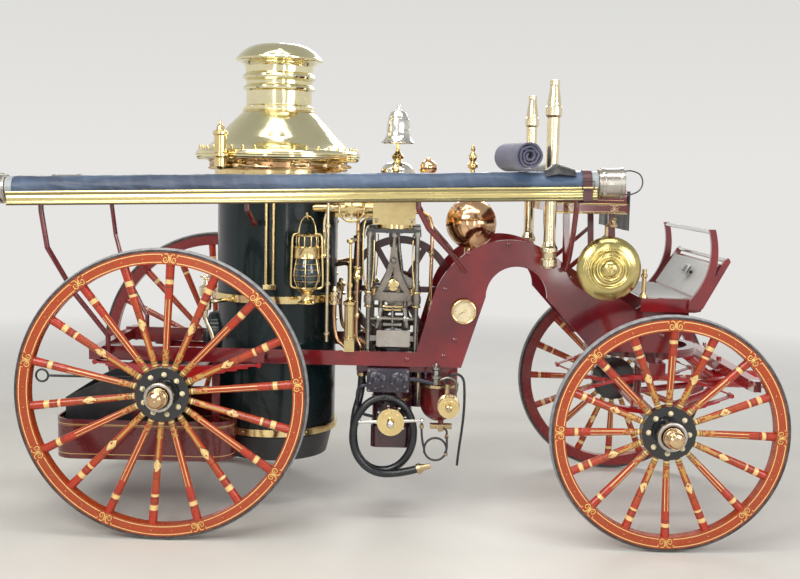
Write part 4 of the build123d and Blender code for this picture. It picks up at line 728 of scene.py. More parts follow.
jacket = jacketEnamel()
drumBrass = brightMetal("drum_brass", (0.62, 0.38, 0.20), (0.30, 0.16, 0.09), 0.18, 0.0022, 7, 0.8)
dress("boiler_shell", jacket, drumBrass, rule=lambda spot: 1 if spot.z > 1.9295 else 0)
dress("boiler_bands", brass)
dress("boiler_dome", domeBrass)
dress("smoke_stack", domeBrass)
dress("fire_door", blackIron)
for name in ("steam_fittings", "pressure_gauge", "hand_syringe", "pump_caps", "water_gauge", "lanterns"):
    dress(name, brass)
dress("playpipes", paleBrass)
dress("bell_stand", brass, nickel, rule=lambda spot: 1 if 1.90 < spot.z < 1.994 else 0)
dress("steam_cylinders", brass, darkSteel, copper,
      rule=lambda spot: 1 if spot.z < 1.6225 else 2 if spot.x > 0.165 and spot.z > 1.80 else 0)
dress("bell", nickel)
dress("air_chamber", copper, brass, rule=lambda spot: 1 if spot.z > 1.795 else 0)
dress("engine_columns", steel, pewter, rule=lambda spot: 1 if abs(spot.y) > 0.3315 and spot.z < 1.07 else 0)
dress("crossheads", wornIron, darkSteel, rule=lambda spot: 1 if abs(spot.y) < 0.199 else 0)
dress("hose_couplings", pewter)


# turned brass of the gong: fine rings about its middle, a greenish tarnish between them
def gongMetal(settings):
    material, tree, shader = startMaterial("gong_brass", Metallic=1.0)
    x, y, z = axes(tree)
    dx, dz = calc(tree, "SUBTRACT", x, settings["x"]), calc(tree, "SUBTRACT", z, settings["z"])
    reach = calc(tree, "SQRT", calc(tree, "ADD", calc(tree, "MULTIPLY", dx, dx), calc(tree, "MULTIPLY", dz, dz)))
    tarnish = spread(tree, clouds(tree, 7, 7, 0.62), 0.40, 0.72, 0, 0.75)
    body = mixColour(tree, tarnish, settings["colour"], settings["stain"])
    feed(tree, shader, Base_Color=body)
    roughen(tree, shader, 9, 5, 0.10, 0.26)
    grooves = calc(tree, "SINE", calc(tree, "MULTIPLY", reach, 2 * math.pi / settings["groove"]))
    lines = bump(tree, grooves, 0.00022, 0.5, softEdge(tree, 0.002))
    feed(tree, shader, Normal=bump(tree, clouds(tree, 9, 1, 0.4), 0.0022, 0.5, lines))
    return material


gongShape = {"x": 1.146, "z": 1.450, "colour": (0.66, 0.54, 0.23), "stain": (0.33, 0.29, 0.10), "groove": 0.0062}
dress("gong", gongMetal(gongShape), maroon, rule=lambda spot: 1 if spot.y > -0.3995 else 0)


# brass of the hose trays: bright beads above and below a duller hollow, then painted shade lower down: a dark olive
# foot and a darker brown underside
def trayMetal(settings):
    material, tree, shader = startMaterial("tray_brass", Metallic=1.0)
    x, y, z = axes(tree)
    height = calc(tree, "SUBTRACT", z, calc(tree, "ADD", calc(tree, "MULTIPLY", x, settings["rise"]), settings["axis"]))
    rubbed = spread(tree, clouds(tree, 6, 7, 0.6, (0.25, 1, 1)), 0.42, 0.75, 0, 0.55)
    body = mixColour(tree, rubbed, settings["bright"], settings["stain"])
    body = mixColour(tree, between(tree, height, -0.036, -0.0235), body, settings["hollow"])
    # painted shade: the lower part of the tray is darkened to olive, and its underside to a darker brown
    body = mixColour(tree, between(tree, height, -0.2, -0.068), body, settings["foot"])
    body = mixColour(tree, between(tree, height, -0.2, -0.0835), body, settings["under"])
    feed(tree, shader, Base_Color=body)
    feed(tree, shader, Roughness=spread(tree, clouds(tree, 8, 6, 0.6, (0.3, 1, 1)), 0.3, 0.75, 0.12, 0.34))
    ogee = calc(tree, "SINE", calc(tree, "MULTIPLY", height, 2 * math.pi / 0.029))
    dents = bump(tree, clouds(tree, 7, 2, 0.5, (0.4, 1, 1)), 0.0016, 0.5, softEdge(tree, 0.002))
    feed(tree, shader, Normal=bump(tree, ogee, 0.0026, 0.8, dents))
    return material


# foot and under are painted shade colours, for the lower part and the underside of the tray
trayShape = {"axis": 1.864, "rise": 0.029, "bright": (0.84, 0.70, 0.33), "stain": (0.58, 0.46, 0.20),
             "hollow": (0.40, 0.34, 0.17), "foot": (0.26, 0.23, 0.12), "under": (0.13, 0.065, 0.04)}
trayBrass = trayMetal(trayShape)
dress("hose_tray_right", trayBrass)
dress("hose_tray_left", trayBrass)
print("boiler, brass and engine finished")

# soft and woven finishes


def hoseCanvas():
    material, tree, shader = startMaterial("hose_canvas", Sheen_Weight=0.25, Sheen_Roughness=0.5)
    dusty = spread(tree, clouds(tree, 6, 6, 0.6, (0.35, 1, 1)), 0.4, 0.7, 0, 1)
    body = mixColour(tree, dusty, (0.016, 0.032, 0.072), (0.068, 0.112, 0.195))
    # wound on the slant, so each turn of the canvas keeps its own shade
    x, y, z = axes(tree)
    slant = calc(tree, "ADD", calc(tree, "MULTIPLY", x, 9.0), calc(tree, "MULTIPLY", z, 4.0))
    turns = spread(tree, calc(tree, "SINE", calc(tree, "MULTIPLY", slant, 2 * math.pi)), 0.55, 1.0, 0, 0.45)
    body = mixColour(tree, calc(tree, "MULTIPLY", turns, 0.35), body, (0.10, 0.15, 0.24))
    feed(tree, shader, Base_Color=body)
    roughen(tree, shader, 9, 4, 0.32, 0.55, 0.7)
    creases = bump(tree, clouds(tree, 9, 3, 0.6, (0.5, 1, 1)), 0.003, 0.5)
    feed(tree, shader, Normal=bump(tree, clouds(tree, 380, 2, 0.5, (1, 0.5, 0.5)), 0.0008, 0.6, creases))
    return material


def leather(name, colour, worn):
    material, tree, shader = startMaterial(name, Coat_Weight=0.25, Coat_Roughness=0.25)
    rubbed = spread(tree, clouds(tree, 7, 6, 0.6), 0.45, 0.72, 0, 0.8)
    feed(tree, shader, Base_Color=mixColour(tree, rubbed, colour, worn))
    cells = tree.nodes.new("ShaderNodeTexVoronoi")
    cells.feature = "DISTANCE_TO_EDGE"
    cells.inputs["Scale"].default_value = 190
    tree.links.new(place(tree), cells.inputs["Vector"])
    pebble = spread(tree, cells.outputs["Distance"], 0.0, 0.25, 0, 1)
    roughen(tree, shader, 12, 5, 0.34, 0.55)
    folds = bump(tree, clouds(tree, 24, 4, 0.6), 0.002, 0.5)
    feed(tree, shader, Normal=bump(tree, pebble, 0.0007, 0.5, folds))
    return material


def wool():
    material, tree, shader = startMaterial("blanket_wool", Sheen_Weight=0.6, Sheen_Roughness=0.45, Roughness=0.92)
    fuzz = spread(tree, clouds(tree, 160, 5, 0.7), 0.35, 0.7, 0, 1)
    faded = spread(tree, clouds(tree, 8, 4), 0.4, 0.7, 0, 1)
    body = mixColour(tree, fuzz, (0.040, 0.044, 0.095), (0.085, 0.088, 0.155))
    feed(tree, shader, Base_Color=mixColour(tree, faded, body, (0.12, 0.115, 0.185)))
    feed(tree, shader, Normal=bump(tree, clouds(tree, 300, 4, 0.7), 0.0016, 0.7))
    return material


canvas, blanketWool = hoseCanvas(), wool()
blackLeather = leather("black_leather", (0.018, 0.017, 0.018), (0.06, 0.055, 0.05))
maroonLeather = leather("maroon_leather", (0.070, 0.012, 0.017), (0.13, 0.035, 0.035))
for name, cover in (("suction_hose_right", canvas), ("suction_hose_left", canvas), ("seat_cushion", blackLeather),
                    ("seat_back", blackLeather), ("footboard", maroon), ("blanket_roll", blanketWool)):
    dress(name, cover)
print("soft goods finished")

# boiler trim: acorn nuts round the dome, screws in the bands, rivets on the jacket's seams

boilerTrim = {"domeNuts": 40, "nutRing": 0.4455, "nutLevel": 2.050, "bandScrews": 18,
              "bands": ((1.215, 0.372), (1.9125, 0.365), (0.46, 0.359)), "seams": (-1.916, -0.346, 1.204, 2.754),
              "firstRivet": 0.53, "rivetPitch": 0.0445, "rivets": 31}


def addAcorn(shape, spot, axis, size):
    addTurned(shape, [(size, -0.001), (size, size * 0.35), (size * 0.8, size * 0.45), (size * 0.78, size * 1.1),
                      (size * 0.5, size * 1.55), (0, size * 1.75)], spot, axis, 12)


def ringPoints(count, radius, z, first=0.0):
    return circle((boilerJacket["x"], 0, z), radius, count, forward, leftward, first)


def outFromBoiler(spot):
    return Vector((spot.x - boilerJacket["x"], spot.y, 0)).normalized()


trim = bmesh.new()
for spot in ringPoints(boilerTrim["domeNuts"], boilerTrim["nutRing"], boilerTrim["nutLevel"]):
    addAcorn(trim, spot, outFromBoiler(spot) * 0.5 + upward, 0.0092)
for spot in ringPoints(24, 0.1955, 2.288):
    addTurned(trim, [(0.0055, -0.0005), (0.0048, 0.0018), (0, 0.0028)], spot, outFromBoiler(spot), 8)
for level, radius in boilerTrim["bands"]:
    for spot in ringPoints(boilerTrim["bandScrews"], radius, level, 0.1):
        addTurned(trim, [(0.006, -0.0005), (0.0052, 0.0016), (0, 0.0026)], spot, outFromBoiler(spot), 8)
for radius, level, thick in ((0.3965, 1.940, 0.0055), (0.3965, 1.978, 0.0045), (0.471, 2.014, 0.004),
                             (0.206, 2.268, 0.004)):
    addTube(trim, ringPoints(72, radius, level), thick, 8, closed=True)
finishMesh(trim, "boiler_trim", brass, "chassis")

seams = bmesh.new()
for turn in boilerTrim["seams"]:
    for step in range(boilerTrim["rivets"]):
        z = boilerTrim["firstRivet"] + step * boilerTrim["rivetPitch"]
        if abs(z - boilerTrim["bands"][0][0]) > 0.03:
            for offset in (-0.045, 0.055):
                spot = ringPoints(1, boilerJacket["radius"], z, turn + offset)[0]
                addTurned(seams, [(0.0052, -0.0005), (0.0042, 0.0016), (0, 0.0024)], spot, outFromBoiler(spot), 6)
finishMesh(seams, "jacket_rivets", jacket, "chassis")
print("boiler trimmed")

# steam pipes, cocks and glands round the engine

engineTrim = {"x": 0.013, "cylinderY": 0.215,
              "columns": ((-0.122, 0.105), (-0.122, 0.325), (0.144, 0.105), (0.144, 0.325)),
              "crank": (0.050, 1.257)}


def addCock(shape, spot, axis, size, handle=upward):
    axis = Vector(axis).normalized()
    addTurned(shape, [(size * 0.8, 0), (size * 0.8, size * 0.5), (size * 0.5, size * 0.6), (size * 0.5, size * 1.6),
                      (size * 0.85, size * 1.8), (size * 0.85, size * 2.8), (size * 0.5, size * 3),
                      (size * 0.4, size * 4), (0, size * 4)], spot, axis, 12)
    centre = Vector(spot) + axis * size * 2.3
    addTurned(shape, [(size * 0.55, 0), (size * 0.5, size * 1.5), (0, size * 1.6)], centre, handle, 10)
    addTube(shape, [centre + Vector(handle) * size * 1.6 - axis.cross(handle) * size * 1.7,
                    centre + Vector(handle) * size * 1.6 + axis.cross(handle) * size * 1.7], size * 0.28, 8)


glands = bmesh.new()
bright = bmesh.new()
for side, sign in sides:
    outside = leftward * sign
    middle, y = engineTrim["x"], sign * engineTrim["cylinderY"]
    top = Vector((middle, y, 1.603))
    addTurned(bright, [(0.0165, -0.03), (0.030, -0.03), (0.030, -0.004), (0.050, 0.0), (0.050, 0.012), (0.034, 0.018),
                       (0.034, 0.04)], top, upward, 28)
    for spot in circle(top - upward * 0.012, 0.042, 6, forward, leftward):
        addNut(bright, spot, upward, 0.013, 0.012)
    for spot in circle((middle, y, 1.854), 0.091, 10, forward, leftward, math.pi / 10):
        addAcorn(glands, spot, upward, 0.0075)
    # an oil cup on each cylinder and a drain cock at each end of it
    addTurned(glands, [(0.011, 0), (0.011, 0.02), (0.007, 0.024), (0.007, 0.034), (0.019, 0.044), (0.021, 0.07),
                       (0.017, 0.082), (0.006, 0.09), (0.007, 0.1), (0, 0.104)], (middle, y, 1.890), upward, 20)
    for x in (-0.085, 0.111):
        addCock(bright, (x, sign * 0.338, 1.663), outside, 0.0085)
    # nuts at the foot and the head of each column, and two more on the inner ones
    for x, offset in engineTrim["columns"]:
        for z, height in ((1.583, 0.024), (0.866, 0.024)) + (((1.281, 0.014), (1.223, 0.014)) if offset < 0.2 else ()):
            addNut(bright, (x, sign * offset, z), upward, 0.044, height)
    # crosshead pin, the nuts of the guide bar and the bolted cap in the yoke's window
    addTurned(bright, [(0.017, 0), (0.017, 0.010), (0.012, 0.014), (0, 0.014)], (middle, y + sign * 0.015, 1.44),
              outside, 16)
    for x in (-0.085, -0.055, 0.081, 0.111):
        addNut(bright, (x, y + sign * 0.015, 1.231), outside, 0.017, 0.009)
    addTurned(glands, [(0.034, -0.012), (0.034, 0.008), (0.028, 0.012), (0.016, 0.012), (0.016, 0.018), (0, 0.019)],
              (middle, y + sign * 0.006, 1.300), outside, 24)
    for turn in (0.5, 2.64, 3.64, 5.78):
        addNut(bright, (middle + 0.025 * math.cos(turn), y + sign * 0.016, 1.300 + 0.025 * math.sin(turn)),
               outside, 0.010, 0.007)
    for x in (engineTrim["columns"][0][0], engineTrim["columns"][2][0]):
        for z in (1.264, 1.186):
            addTurned(glands, [(0.0215, 0), (0.0245, 0.003), (0.0245, 0.009), (0.0215, 0.012)], (x, sign * 0.325, z),
                      upward, 20)
    for z in (1.178, 1.160):
        addBlock(glands, (middle - 0.058, y - 0.018, z - 0.005), (middle + 0.058, y + 0.018, z + 0.005), 0.0015)
    for x in (middle - 0.07, middle + 0.07):
        addTurned(glands, [(0.020, 0), (0.020, 0.02), (0.016, 0.026), (0.014, 0.026)], (x, y, 0.866), upward, 18)
    # slide valve gear: an eccentric strap on the shaft and its rod up to the steam chest
    strapY = sign * 0.066
    crankX, crankZ = engineTrim["crank"]
    addTube(bright, circle((crankX + 0.018, strapY, crankZ + 0.012), 0.044, 32), 0.011, 8, closed=True)
    addTube(bright, [(0.066, strapY, 1.310), (0.040, strapY, 1.50), (0.030, strapY, 1.665)], 0.0085, 10)
    addTurned(bright, [(0.024, 0), (0.024, 0.014), (0.016, 0.018), (0.016, 0.03)], (0.030, strapY, 1.631), upward, 20)
    # the lubricator's drip pipe, outside the columns
    addPipe(glands, [(-0.11, sign * 0.34, 1.70), (-0.150, sign * 0.365, 1.64), (-0.152, sign * 0.366, 1.40),
                     (-0.135, sign * 0.345, 1.30), (-0.122, sign * 0.325, 1.29)], 0.0055, 8)
finishMesh(glands, "engine_brasses", brass, "chassis")
finishMesh(bright, "engine_glands", steel, "chassis")

pipes = bmesh.new()
addPipe(pipes, [(-0.190, -0.262, 1.715), (-0.188, -0.285, 1.65), (-0.186, -0.292, 1.50), (-0.186, -0.292, 1.20),
                (-0.186, -0.292, 1.02), (-0.16, -0.292, 0.95), (-0.150, -0.285, 0.88)], 0.0095)
for sign in (-1, 1):
    addPipe(pipes, [(-0.320, sign * 0.10, 1.40), (-0.250, sign * 0.16, 1.41), (-0.235, sign * 0.20, 1.36),
                    (-0.235, sign * 0.20, 1.10), (-0.20, sign * 0.20, 1.0), (-0.14, sign * 0.20, 0.96),
                    (-0.13, sign * 0.20, 0.87)], 0.0125)
addPipe(pipes, [(0.20, -0.12, 0.87), (0.215, -0.12, 0.95), (0.225, -0.12, 1.3), (0.225, -0.11, 1.62),
                (0.19, -0.10, 1.70), (0.12, -0.09, 1.71)], 0.0105)
finishMesh(pipes, "feed_pipes", copper, "chassis")

unions = bmesh.new()
for spot, size in (((-0.186, -0.292, 1.58), 0.030), ((-0.186, -0.292, 1.12), 0.030), ((-0.235, -0.20, 1.28), 0.036),
                   ((-0.235, 0.20, 1.28), 0.036), ((0.225, -0.12, 1.18), 0.032), ((0.225, -0.12, 1.46), 0.032)):
    addNut(unions, spot, upward, size, 0.028)
addCock(unions, (-0.186, -0.300, 1.33), -leftward, 0.012)
addCock(unions, (-0.235, -0.211, 1.20), -leftward, 0.013)
addTurned(unions, [(0.016, -0.03), (0.024, -0.024), (0.024, 0.004), (0.018, 0.012), (0.018, 0.03), (0.026, 0.034),
                   (0.026, 0.044), (0.009, 0.05), (0.009, 0.075), (0.013, 0.08), (0, 0.09)], (-0.186, -0.292, 1.36),
          upward, 20)
# small cocks round the drum, and the flange bolts of the steam pipe
for turn, z in ((-1.95, 1.972), (-1.25, 1.965), (-0.75, 1.972), (1.95, 1.972), (1.25, 1.965)):
    spot = ringPoints(1, 0.394, z, turn)[0]
    addCock(unions, spot, outFromBoiler(spot), 0.0125)
for x in (-0.262, -0.170):
    addTurned(unions, [(0.026, 0), (0.052, 0), (0.052, 0.009), (0.026, 0.009)], (x, -0.235, 1.727), forward, 28)
    for spot in circle((x + 0.009, -0.235, 1.727), 0.041, 6, leftward, upward):
        addNut(unions, spot, forward, 0.011, 0.008)
finishMesh(unions, "pipe_unions", brass, "chassis")

# the pumps' upper covers, the valve rocker and its links, dark with oil between the bright columns
works = bmesh.new()
for side, sign in sides:
    outside = leftward * sign
    middle, y = engineTrim["x"], sign * engineTrim["cylinderY"]
    addTurned(works, [(0.108, 0), (0.108, 0.020), (0.096, 0.026), (0.096, 0.070), (0.104, 0.074), (0.104, 0.090),
                      (0.070, 0.094), (0.064, 0.120), (0.030, 0.128), (0, 0.128)], (middle, y, 0.865), upward, 36)
    for spot in circle((middle, y, 0.885), 0.099, 10, forward, leftward):
        addNut(works, spot, upward, 0.016, 0.012, 1)
    # rocker: a shaft across, two arms and a drop link to the valve spindle
    addTube(works, [(-0.120, sign * 0.292, 1.118), (0.142, sign * 0.292, 1.118)], 0.011, 12, index=1)
    for x, tilt in ((-0.062, 0.20), (0.088, -0.15)):
        addBlock(works, (x - 0.010, sign * 0.292 - 0.007, 1.060), (x + 0.010, sign * 0.292 + 0.007, 1.182), 0.003, 1,
                 Matrix.Rotation(tilt, 3, "Y"))
        addTurned(works, [(0.017, -0.010), (0.017, 0.010), (0.010, 0.014), (0, 0.014)], (x, sign * 0.300, 1.118),
                  outside, 16, 1)
    addTube(works, [(0.013, sign * 0.300, 0.985), (0.013, sign * 0.296, 1.170)], 0.008, 10, index=1)
    addBlock(works, (-0.040, sign * 0.300 - 0.012, 1.078), (0.066, sign * 0.300 + 0.012, 1.096), 0.003, 1)
    # oil pots on the guide bar and a drip pipe down each outer column
    for x in (-0.095, 0.119):
        addTurned(works, [(0.008, 0), (0.008, 0.008), (0.014, 0.012), (0.015, 0.034), (0.010, 0.038), (0.004, 0.044),
                          (0, 0.045)], (x, sign * 0.262, 1.249), upward, 14, 2)
        addPipe(works, [(x, sign * 0.342, 1.56), (x, sign * 0.348, 1.42), (x * 1.1, sign * 0.350, 1.30)],
                0.0042, 8, 5, 2)
    # exhaust elbow from each steam chest down to the feed heater
    addPipe(works, [(-0.105, sign * 0.120, 1.66), (-0.160, sign * 0.120, 1.64), (-0.190, sign * 0.130, 1.56),
                    (-0.200, sign * 0.150, 1.30), (-0.205, sign * 0.150, 1.02), (-0.190, sign * 0.150, 0.88)],
            0.021, 16)
    for z in (1.54, 1.24, 0.97):
        addTurned(works, [(0.021, 0), (0.035, 0.002), (0.035, 0.016), (0.021, 0.018)], (-0.2015, sign * 0.147, z),
                  upward, 24, 1)
# steam chest cover in the middle with its studs
addBlock(works, (-0.085, -0.088, 1.600), (0.111, 0.088, 1.622), 0.004)
for x in (-0.070, 0.013, 0.096):
    for y in (-0.072, 0.072):
        addNut(works, (x, y, 1.6005), -upward, 0.017, 0.010, 1)
finishMesh(works, "engine_works", [darkSteel, steel, brass], "chassis")

# valves and pipes on both sides of the boiler: check valves, try cocks and the straight pipes
sideFittings = {"checks": ((-0.375, 1.497), (-0.315, 1.235)), "try": (1.36, 1.46, 1.56), "column": (-0.352, 0.322),
                "collars": (1.02, 1.30, 1.62), "injector": (-1.021, -0.352, 1.150)}
gear = bmesh.new()
for sign in (-1, 1):
    for x, z in sideFittings["checks"]:
        spot = Vector((x, sign * 0.262, z))
        addTurned(gear, [(0.020, 0), (0.034, 0.004), (0.034, 0.016), (0.022, 0.022), (0.022, 0.050), (0.030, 0.056),
                         (0.030, 0.074), (0.018, 0.080), (0.012, 0.104), (0, 0.106)], spot - upward * 0.05, upward, 22)
        addTube(gear, [spot, spot + (Vector((boilerJacket["x"], 0, z)) - spot).normalized() * 0.10], 0.013, 12)
    addPipe(gear, [(-0.375, sign * 0.262, 1.55), (-0.375, sign * 0.262, 1.66), (-0.350, sign * 0.262, 1.72),
                   (-0.300, sign * 0.255, 1.735)], 0.0115)
    addPipe(gear, [(-0.315, sign * 0.262, 1.19), (-0.315, sign * 0.262, 1.10), (-0.300, sign * 0.268, 1.00),
                   (-0.250, sign * 0.280, 0.95)], 0.0115, index=1)
    for z in sideFittings["try"]:
        spot = ringPoints(1, 0.3455, z, sign * 1.02)[0]
        addCock(gear, spot, outFromBoiler(spot), 0.0095, forward)
# injector on the right of the drum: its body, a wheel on top and the pipes up and down
base = Vector(sideFittings["injector"])
addTurned(gear, [(0.016, 0), (0.026, 0.004), (0.030, 0.020), (0.030, 0.060), (0.024, 0.066), (0.024, 0.078),
                 (0.036, 0.084), (0.038, 0.128), (0.028, 0.136), (0.016, 0.142), (0.010, 0.170), (0.018, 0.174),
                 (0, 0.180)], base, upward, 26)
wheelCentre = base + upward * 0.188
addTube(gear, circle(wheelCentre, 0.030, 24, forward, leftward), 0.0045, 8, closed=True)
addTube(gear, [wheelCentre - forward * 0.03, wheelCentre + forward * 0.03], 0.0035, 8)
addPipe(gear,
        [base, base - upward * 0.05, base - upward * 0.12 + forward * 0.03, base - upward * 0.20 + forward * 0.05],
        0.011)
addPipe(gear, [base + upward * 0.05, base + Vector((0.06, 0.03, 0.05)), base + Vector((0.10, 0.10, 0.05))], 0.012)
for sign in (-1, 1):
    x, y = sideFittings["column"][0], sign * sideFittings["column"][1]
    addTube(gear, [(x, y, 0.985), (x, y, 1.765)], 0.0095, 14)
    for z in sideFittings["collars"]:
        addTurned(gear, [(0.0095, 0), (0.0165, 0.003), (0.0165, 0.017), (0.0095, 0.020)], (x, y, z), upward, 18)
    addTube(gear, [(x, y, 1.76), (x, sign * 0.28, 1.768), (-0.380, sign * 0.200, 1.768)], 0.0085, 12)
    addTube(gear, [(x, y, 0.995), (x, sign * 0.28, 0.985), (-0.380, sign * 0.185, 0.985)], 0.0085, 12)
finishMesh(gear, "boiler_gear", [paleBrass, copper], "chassis")

# curved pipes and cocks round the drum, under the dome's skirt
crown = bmesh.new()
for first, last, level, radius in ((-2.45, -1.55, 1.952, 0.436), (-1.25, -0.42, 1.960, 0.440),
                                   (0.42, 1.25, 1.960, 0.440)):
    arc = [ringPoints(1, radius + 0.006 * math.sin(9 * t), level + 0.006 * math.sin(5 * t),
                      first + (last - first) * t)[0]
           for t in (k / 18 for k in range(19))]
    inward = [ringPoints(1, 0.394, level, first)[0]] + arc + [ringPoints(1, 0.394, level, last)[0]]
    addPipe(crown, inward, 0.0095, 10, 3)
    for share in (0.2, 0.5, 0.8):
        spot = ringPoints(1, radius, level - 0.012, first + (last - first) * share)[0]
        addTurned(crown, [(0.012, 0), (0.020, 0.004), (0.020, 0.020), (0.013, 0.026), (0.008, 0.030), (0, 0.034)],
                  spot, upward, 14)
finishMesh(crown, "drum_pipes", agedBrass, "chassis")
print("engine fitted")

# pump: bar handle of the suction cap, flange bolts, cocks under the discharge chamber

pumpTrim = {"cap": (0.019, 0.580), "outlet": (0.334, 0.659), "barrelY": 0.215}
(capX, capZ), (outletX, outletZ) = pumpTrim["cap"], pumpTrim["outlet"]
levers = bmesh.new()
for side, sign in sides:
    y = sign * 0.503
    bar = [(-0.150, y, 0.574), (-0.07, y, 0.577), (0.10, y, 0.585), (0.190, y, 0.590)]
    addTube(levers, bar, [0.0075, 0.0095, 0.0095, 0.0075], 12)
    for end in (bar[0], bar[-1]):
        addBall(levers, end, 0.0125)
    addTurned(levers, [(0.013, 0), (0.019, 0.004), (0.021, 0.014), (0.016, 0.022), (0.008, 0.026), (0, 0.027)],
              (capX, sign * 0.557, capZ), leftward * sign, 20)
    for spot in circle((capX, sign * 0.459, capZ), 0.079, 8, first=0.2):
        addNut(levers, spot, leftward * sign, 0.016, 0.012)
finishMesh(levers, "pump_levers", nickel, "chassis")

cocks = bmesh.new()
for side, sign in sides:
    outside = leftward * sign
    addTurned(cocks, [(0.0525, 0), (0.062, 0.002), (0.062, 0.012), (0.054, 0.016), (0.054, 0.028), (0.062, 0.032),
                      (0.062, 0.04), (0.052, 0.044)], (outletX, sign * 0.400, outletZ), outside, 28)
    addTurned(cocks, [(0.0135, 0), (0.0205, 0.003), (0.0205, 0.010), (0.012, 0.014), (0.009, 0.022), (0, 0.024)],
              (outletX, sign * 0.509, outletZ), outside, 18)
    for spot in circle((outletX, sign * 0.440, outletZ), 0.0575, 8, first=0.3):
        addNut(cocks, spot, outside, 0.010, 0.008)
    y = sign * pumpTrim["barrelY"]
    addTurned(cocks, [(0.1125, 0), (0.117, 0.003), (0.117, 0.014), (0.1125, 0.018)], (capX, y, 0.655), upward, 36)
    for spot in circle((capX, y, 0.766), 0.121, 10, forward, leftward):
        addAcorn(cocks, spot, upward, 0.009)
finishMesh(cocks, "pump_brasses", agedBrass, "chassis")

# valve chests outside the plates: a dark cover on each side with studs, a relief valve and small pipes
chest = {"x": (-0.120, 0.118), "z": (0.722, 0.858), "y": 0.386, "deep": 0.034}
pumpIron = castIron("pump_iron", (0.026, 0.022, 0.040), (0.075, 0.050, 0.065), 0.22)
valves = bmesh.new()
for side, sign in sides:
    outside = leftward * sign
    near, far = sign * chest["y"], sign * (chest["y"] + chest["deep"])
    (x0, x1), (z0, z1) = chest["x"], chest["z"]
    addBlock(valves, (x0, min(near, far), z0), (x1, max(near, far), z1), 0.012)
    for x in (x0 + 0.058, x1 - 0.058):
        spot = Vector((x, far, (z0 + z1) / 2))
        addTurned(valves, [(0.051, -0.002), (0.051, 0.010), (0.044, 0.014), (0.026, 0.016), (0.022, 0.030),
                           (0.012, 0.034), (0, 0.034)], spot, outside, 30)
        for stud in circle(spot + outside * 0.013, 0.0415, 6, first=0.3):
            addNut(valves, stud, outside, 0.012, 0.009, 1)
    for x, z in ((x0 + 0.012, z0 + 0.014), (x1 - 0.012, z0 + 0.014), (x0 + 0.012, z1 - 0.014),
                 (x1 - 0.012, z1 - 0.014)):
        addNut(valves, (x, far, z), outside, 0.014, 0.009, 1)
    # relief valve ahead of the chest, over the discharge chamber
    addTurned(valves, [(0.020, -0.026), (0.020, 0.004), (0.030, 0.008), (0.030, 0.022), (0.019, 0.028), (0.016, 0.052),
                       (0.024, 0.058), (0.024, 0.070), (0.010, 0.076), (0.007, 0.094), (0, 0.095)],
              (0.262, sign * 0.408, 0.800), upward, 24, 1)
    addPipe(valves, [(x1, far - sign * 0.012, 0.80), (0.170, sign * 0.410, 0.795), (0.225, sign * 0.410, 0.785),
                     (0.262, sign * 0.408, 0.775)], 0.012, 12, 5)
    addPipe(valves, [(x0, far - sign * 0.012, 0.76), (-0.150, sign * 0.410, 0.755), (-0.168, sign * 0.400, 0.725),
                     (-0.170, sign * 0.390, 0.66), (-0.150, sign * 0.380, 0.60), (-0.08, sign * 0.370, 0.575)],
            0.009, 10)
    addPipe(valves, [(0.285, sign * 0.408, 0.800), (0.330, sign * 0.412, 0.812), (0.368, sign * 0.412, 0.795),
                     (0.378, sign * 0.410, 0.750), (0.366, sign * 0.400, 0.715)], 0.0075, 10, index=1)
    addCock(valves, (0.205, sign * 0.4105, 0.807), upward, 0.011)
finishMesh(valves, "valve_chests", [pumpIron, steel], "chassis")

# iron drain pipe under the discharge chamber: a closed ring and two ends that lead up to the chamber
drainShape = {"x": 0.268, "y": -0.405, "z": 0.408, "reach": 0.062, "thick": 0.0062, "lean": 0.004}
drain = bmesh.new()
ringUp = upward + leftward * (drainShape["lean"] / drainShape["reach"])
addTube(drain, circle([drainShape[axis] for axis in "xyz"], drainShape["reach"], 40, forward, ringUp),
        drainShape["thick"], 10, closed=True)
for ends in ([(0.318, -0.300, 0.500), (0.330, -0.352, 0.500), (0.330, -0.396, 0.490), (0.331, -0.406, 0.455),
              (0.331, -0.409, 0.415), (0.322, -0.409, 0.385)],
             [(0.190, -0.345, 0.562), (0.190, -0.385, 0.545), (0.190, -0.402, 0.50), (0.196, -0.408, 0.450),
              (0.205, -0.409, 0.415), (0.207, -0.409, 0.385)]):
    addPipe(drain, ends, drainShape["thick"], 10, 5)
addBlock(drain, (0.316, -0.419, 0.372), (0.336, -0.396, 0.392), 0.004, 1)
for spot in ((0.190, -0.392, 0.532), (0.330, -0.396, 0.478)):
    addTurned(drain, [(0.0062, -0.012), (0.0115, -0.009), (0.0115, 0.009), (0.0062, 0.012)], spot, upward, 16, 1)
finishMesh(drain, "drain_loop", [blackIron, agedBrass], "chassis")

dial = {"centre": (0.405, -0.4212, 1.183), "face": 0.0575, "marks": 25}
gauge = bmesh.new()
face = Vector(dial["centre"])
addTurned(gauge, [(0, 0.001), (dial["face"], 0.001)], face, -leftward, 40, 0)
for k in range(dial["marks"]):
    turn = math.radians(225 - 270 * k / (dial["marks"] - 1))
    out = forward * math.cos(turn) + upward * math.sin(turn)
    long = 0.011 if k % 4 == 0 else 0.006
    addRibbon(gauge, [face + out * (0.051 - long) - leftward * 0.0014, face + out * 0.051 - leftward * 0.0014],
              -leftward, 0.0016 if k % 4 == 0 else 0.0009, 0.0003, 1)
needle = forward * math.cos(math.radians(215)) + upward * math.sin(math.radians(215))
addRibbon(gauge,
          [face - needle * 0.012 - leftward * 0.003, face - leftward * 0.003, face + needle * 0.042 - leftward * 0.003],
          -leftward, [0.003, 0.0045, 0.0008], 0.0008, 1)
addTurned(gauge, [(0.005, 0.002), (0.005, 0.005), (0, 0.006)], face, -leftward, 16, 2)
addTube(gauge, circle(face - leftward * 0.0125, 0.0625, 40), 0.004, 8, closed=True, index=2)
dialInk = coachPaint("dial_ink", (0.02, 0.02, 0.022), (0.05, 0.05, 0.05), 0.4, 0.2, 0.0005)
